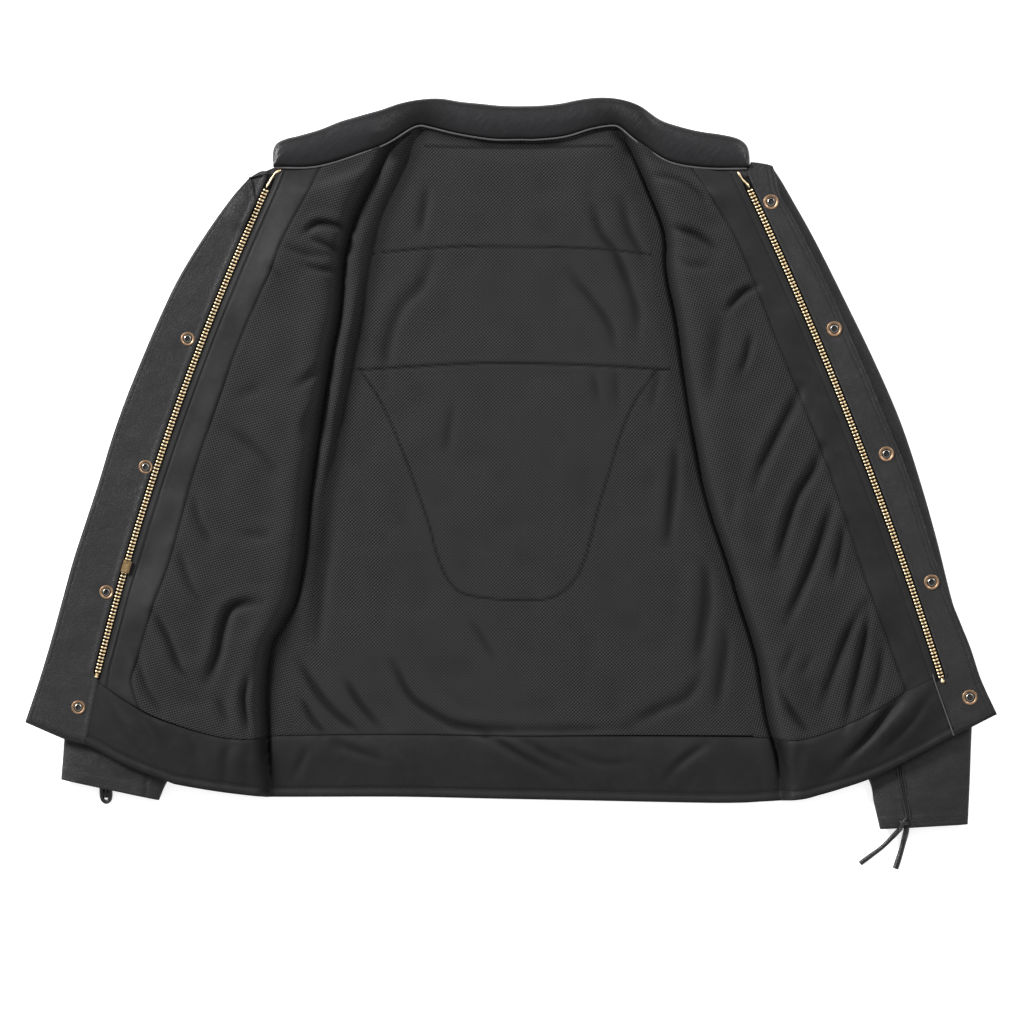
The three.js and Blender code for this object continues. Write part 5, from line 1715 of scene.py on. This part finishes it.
def lathe(name, profile, place, tilt_side, material, slot, sides=48):
    """A closed ring turned about a vertical axis and laid on a front: profile is (radius, height) points."""
    profile = np.asarray(profile, float)
    angle = np.linspace(0, math.tau, sides, endpoint=False)
    ring = profile[:, None, 0, None] * np.stack([np.cos(angle), np.sin(angle)], -1)[None]
    x, y = place[0] + ring[..., 0], place[1] + ring[..., 1]
    z = plane(x, y, tilt_side) + profile[:, 1][:, None]
    loops = np.stack([x, y, z], -1)
    loops = np.concatenate([loops, loops[:1]])
    count = len(profile)
    verts = loops[:-1].reshape(-1, 3)
    i = np.arange(count * sides).reshape(count, sides)
    i = np.vstack([i, i[:1]])
    i = np.hstack([i, i[:, :1]])
    faces = np.stack([i[:-1, :-1], i[1:, :-1], i[1:, 1:], i[:-1, 1:]], -1).reshape(-1, 4)
    if outward(verts, faces) < 0:
        faces = faces[:, ::-1]
    return mesh_piece(name, verts, [faces], material, slot, sharp=60)


SNAP_SIZES = {LEFT: (7.0, 3.7, 2.3), RIGHT: (7.7, 4.0, 2.6)}  # radii of the flange, inner ring and bore
SNAP_INSIDE = {LEFT: "snap_eyelet_", RIGHT: "snap_socket_"}
SNAP_OUTSIDE = {LEFT: "snap_stud_", RIGHT: "snap_cap_"}
SNAP_LOW = SKIN - SHELL_LOW - 0.3  # the top of the outer half, under the outer leather


def snap_profiles(s):
    """(radius, height) points of a snap's flange, inner ring, near-black bore plug of painted shadow, and outer half.
    """
    rim, ring, bore = SNAP_SIZES[s]
    low = SNAP_LOW
    flange = [(ring + 0.7, -1.2), (rim - 0.6, -1.0), (rim, 0.0), (rim - 0.1, 0.6), (rim - 0.5, 0.95),
              (rim - 1.0, 1.0), (rim - 1.6, 0.8), (ring + 0.9, 0.4), (ring + 0.7, 0.1)]
    inner = [(bore, -3.0), (ring, -3.0), (ring, 0.6), (ring - 0.3, 1.3), (ring - 0.8, 1.5),
             (bore + 0.5, 1.1), (bore + 0.1, 0.2)]
    core = [(0.01, -2.6), (bore - 0.05, -2.6), (bore - 0.05, -0.9), (0.01, -0.7)]
    stud = [(0.01, low), (6.4, low), (6.5, low - 0.6), (3.0, low - 0.9), (2.5, low - 1.6),
            (2.9, low - 2.4), (2.4, low - 2.9), (0.01, low - 3.0)]
    cap = [(0.01, low), (7.6, low), (7.7, low - 0.6), (7.1, low - 1.3), (5.0, low - 1.8), (0.01, low - 2.0)]
    return flange, inner, core, stud if s == LEFT else cap


def add_snaps():
    """Each snap: a copper flange with a rolled edge, a bright inner ring with a near-black disc of painted shadow in
    its bore, and the half that shows on the outside."""
    for s in (LEFT, RIGHT):
        flange, inner, core, outside = snap_profiles(s)
        back = (NICKEL, "snap_nickel") if s == LEFT else (COPPER, "snap_copper")
        for k, place in enumerate(SNAPS[s], 1):
            front, rear = SNAP_INSIDE[s] + str(k), SNAP_OUTSIDE[s] + str(k)
            piece = lathe("flange_" + front, flange, place, s, COPPER, "snap_copper")
            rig.replaces(piece, front)
            rides(piece, s)
            rides(lathe("ring_" + front, inner, place, s, NICKEL, "snap_nickel"), s)
            # A near-black disc in the bore, painted shadow.
            rides(lathe("bore_" + front, core, place, s, PAINTED_HOLE_SHADOW, "snap_nickel", 24), s)
            piece = lathe("outside_" + rear, outside, place, s, *back)
            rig.replaces(piece, rear)
            rides(piece, s)


# ---------------------------------------------------------------- laces


# The thongs at the cuffs: CAD node, width and route.
THONGS = [
    ("cuff_lace_right_long", 4.8,
     [(392, -364.6, 11.4), (388, -369, 9.2), (382, -376, 5), (373, -385, 3.0), (363, -392.5, 2.7),
      (351.5, -401, 2.7)]),
    ("cuff_lace_right_short", 5.8,
     [(397.5, -363.4, 11.4), (397, -369, 8.8), (395.5, -377, 4.6), (393, -387, 3.4), (390, -397, 3.2),
      (387, -406, 3.2)]),
    ("cuff_lace_left_loop", 4.4,
     [(-409.8, -316, 5.5), (-409.8, -324, 4.9), (-409.8, -333, 3), (-408.6, -337.4, 2.4),
      (-405.5, -339.2, 2.4), (-402.4, -337.4, 2.4), (-401.2, -333, 3), (-401.2, -325.5, 4.9),
      (-401.2, -317, 5.5)]),
    ("cuff_lace_left_end", 4.0,
     [(-405.5, -302, 5), (-405.5, -313, 5), (-405.5, -324.5, 4.6), (-405.5, -331, 3.2),
      (-405.5, -334.5, 2.6)]),
]
THONG_SHIFT = np.array([1.0086, 2.0, 0.0])  # from the routes' origin to the frame's


def add_laces():
    """The thongs as cords, each a little uneven in width by a sine along it."""
    points = 48
    for name, width, route in THONGS:
        path = smooth(np.array(route) - THONG_SHIFT, points)
        radius = width / 2 * (1 + 0.06 * np.sin(np.linspace(0, 9, points)))
        piece = tube(name.replace("cuff_lace", "thong"), path, radius, LACE, "lace_leather", 14)
        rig.replaces(piece, name)
        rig.ride(piece, "back")
        length = float(np.linalg.norm(np.diff(path, axis=0), axis=1).sum()) * MM
        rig.cord(piece, exit=(path[0] * MM).tolist(), length=round(length, 4), diameter=width * MM,
                far_end="bare", stiffness="limp", lay="loose", path=(path * MM).tolist())


# ---------------------------------------------------------------- raised seams

FOOT_SEAM = [(421.0, -212.0), (423.5, -221.0), (442.0, -273.0)]
CUFF_CORDS = [[(384, -292), (386, -304), (391, -330), (396, -355), (395, -360)],
              [(389.5, -292), (391, -304), (395.5, -330), (399.5, -355), (396, -360)]]
KNOT = [(396, -356, 0.6), (392.5, -361, 1.5), (390.5, -365, 0.2), (390, -368.6, -4.5), (391, -367.6, -9.0)]
KNOT_BAR = [(389.5, -359.5, 0.5), (393, -361.5, 1.6), (397.5, -361, 0.5)]


def add_raised_seams():
    """The thin cords that stand up along seams: at the corner of the left front, below the right zip, and
    the pair down the right cuff with the knot of its lace."""
    for k, points in enumerate(CORNER_SEAMS):
        line = smooth(points, 20)
        path = frame_at(LEFT, line[:, 0], line[:, 1], 1.1)
        rides(tube("corner_seam_%d" % k, path, 0.55, OUTER, "outer_leather", 8), LEFT)
    line = even(np.array(FOOT_SEAM), 30)
    path = frame_at(RIGHT, line[:, 0], line[:, 1], 1.2)
    # A pale cord: painted highlight along the seam.
    rides(tube("foot_seam", path, 0.75, PIPING_PAINTED_HIGHLIGHT, "outer_leather", 8), RIGHT)
    for k, points in enumerate(CUFF_CORDS):
        line = smooth(points, 30)
        path = np.column_stack([line, sleeve_top(line[:, 0], line[:, 1], RIGHT) + 0.1])
        rides(tube("cuff_cord_%d" % k, path, 1.25, OUTER, "outer_leather", 10), 0)
    # A near-black rod between the two cords, painted shadow in the gap between them.
    middle = (smooth(CUFF_CORDS[0], 30) + smooth(CUFF_CORDS[1], 30)) / 2
    path = np.column_stack([middle, sleeve_top(middle[:, 0], middle[:, 1], RIGHT) + 0.5])
    rides(tube("cuff_gap_shadow", path, 0.9, PAINTED_HOLE_SHADOW, "outer_leather", 8), 0)
    for name, points in (("knot", KNOT), ("knot_bar", KNOT_BAR)):
        line = smooth(points, 24)
        line[:, 2] += sleeve_top(line[:, 0], line[:, 1], RIGHT) + 0.6
        rides(tube("lace_" + name, line, 1.9, LACE, "lace_leather", 12), 0)


# ---------------------------------------------------------------- build

add_back_lining()
for s in (LEFT, RIGHT):
    add_front_lining(s)
for s in (LEFT, RIGHT):
    add_facing(s)
    add_flap(s)
    add_outer_front(s)
    add_tape(s)
    add_teeth(s)
for s in (LEFT, 0, RIGHT):
    add_hem(s)
add_outer_back()
add_collars()
add_piping()
add_sleeves()
add_zip_ends()
add_snaps()
add_laces()
add_raised_seams()
for s in (LEFT, RIGHT):
    add_shoulder(s)
for name in ("zip_slider", "pull_tab"):
    node = frame["nodes"][name]
    node.data.materials.clear()
    node.data.materials.append(DULL_BRASS)
    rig.slot(node, "zip_brass")

# ---------------------------------------------------------------- floor, light and camera


def add_floor():
    """The white floor, which glows a little and so stays even."""
    mesh = bpy.data.meshes.new("floor")
    reach = 6.0
    mesh.from_pydata([(-reach, -reach, 0), (reach, -reach, 0), (reach, reach, 0), (-reach, reach, 0)], [],
                     [(0, 1, 2, 3)])
    paper, n, shader = material_of("floor")
    n.put(shader.inputs["Base Color"], (0.9, 0.9, 0.9, 1))
    n.put(shader.inputs["Roughness"], 0.9)
    n.put(shader.inputs["Emission Color"], (1, 1, 1, 1))
    n.put(shader.inputs["Emission Strength"], 0.68)
    mesh.materials.append(paper)
    floor = bpy.data.objects.new("floor", mesh)
    bpy.context.scene.collection.objects.link(floor)
    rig.stage(floor)


def add_light(name, place, size, power):
    """A round lamp at a place in metres, turned to the middle of the scene."""
    data = bpy.data.lights.new(name, "AREA")
    data.shape = "DISK"
    data.size = size
    data.energy = power
    light = bpy.data.objects.new(name, data)
    light.location = place
    light.rotation_mode = "QUATERNION"
    light.rotation_quaternion = (-Vector(place)).to_track_quat("-Z", "Y")
    bpy.context.scene.collection.objects.link(light)


add_floor()
world = bpy.data.worlds.new("studio")
world.use_nodes = True
background = world.node_tree.nodes["Background"]
background.inputs[0].default_value = (1, 1, 1, 1)
background.inputs[1].default_value = 0.5
bpy.context.scene.world = world
add_light("key", (-2.6, 1.7, 1.9), 0.9, 190)
add_light("fill", (2.2, 2.0, 2.6), 1.6, 60)

camera_data = bpy.data.cameras.new("camera")
camera_data.lens = 150
camera_data.sensor_width = 36
camera = bpy.data.objects.new("camera", camera_data)
camera.location = (0.001, -0.050, 4.287)
bpy.context.scene.collection.objects.link(camera)
bpy.context.scene.camera = camera
bpy.context.scene.view_settings.view_transform = "Standard"
bpy.context.scene.view_settings.look = "None"

low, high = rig.bounds()
with open("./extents.json", "w") as f:
    json.dump({"cad": [list(cad_low), list(cad_high)], "visual": [list(low), list(high)]}, f)
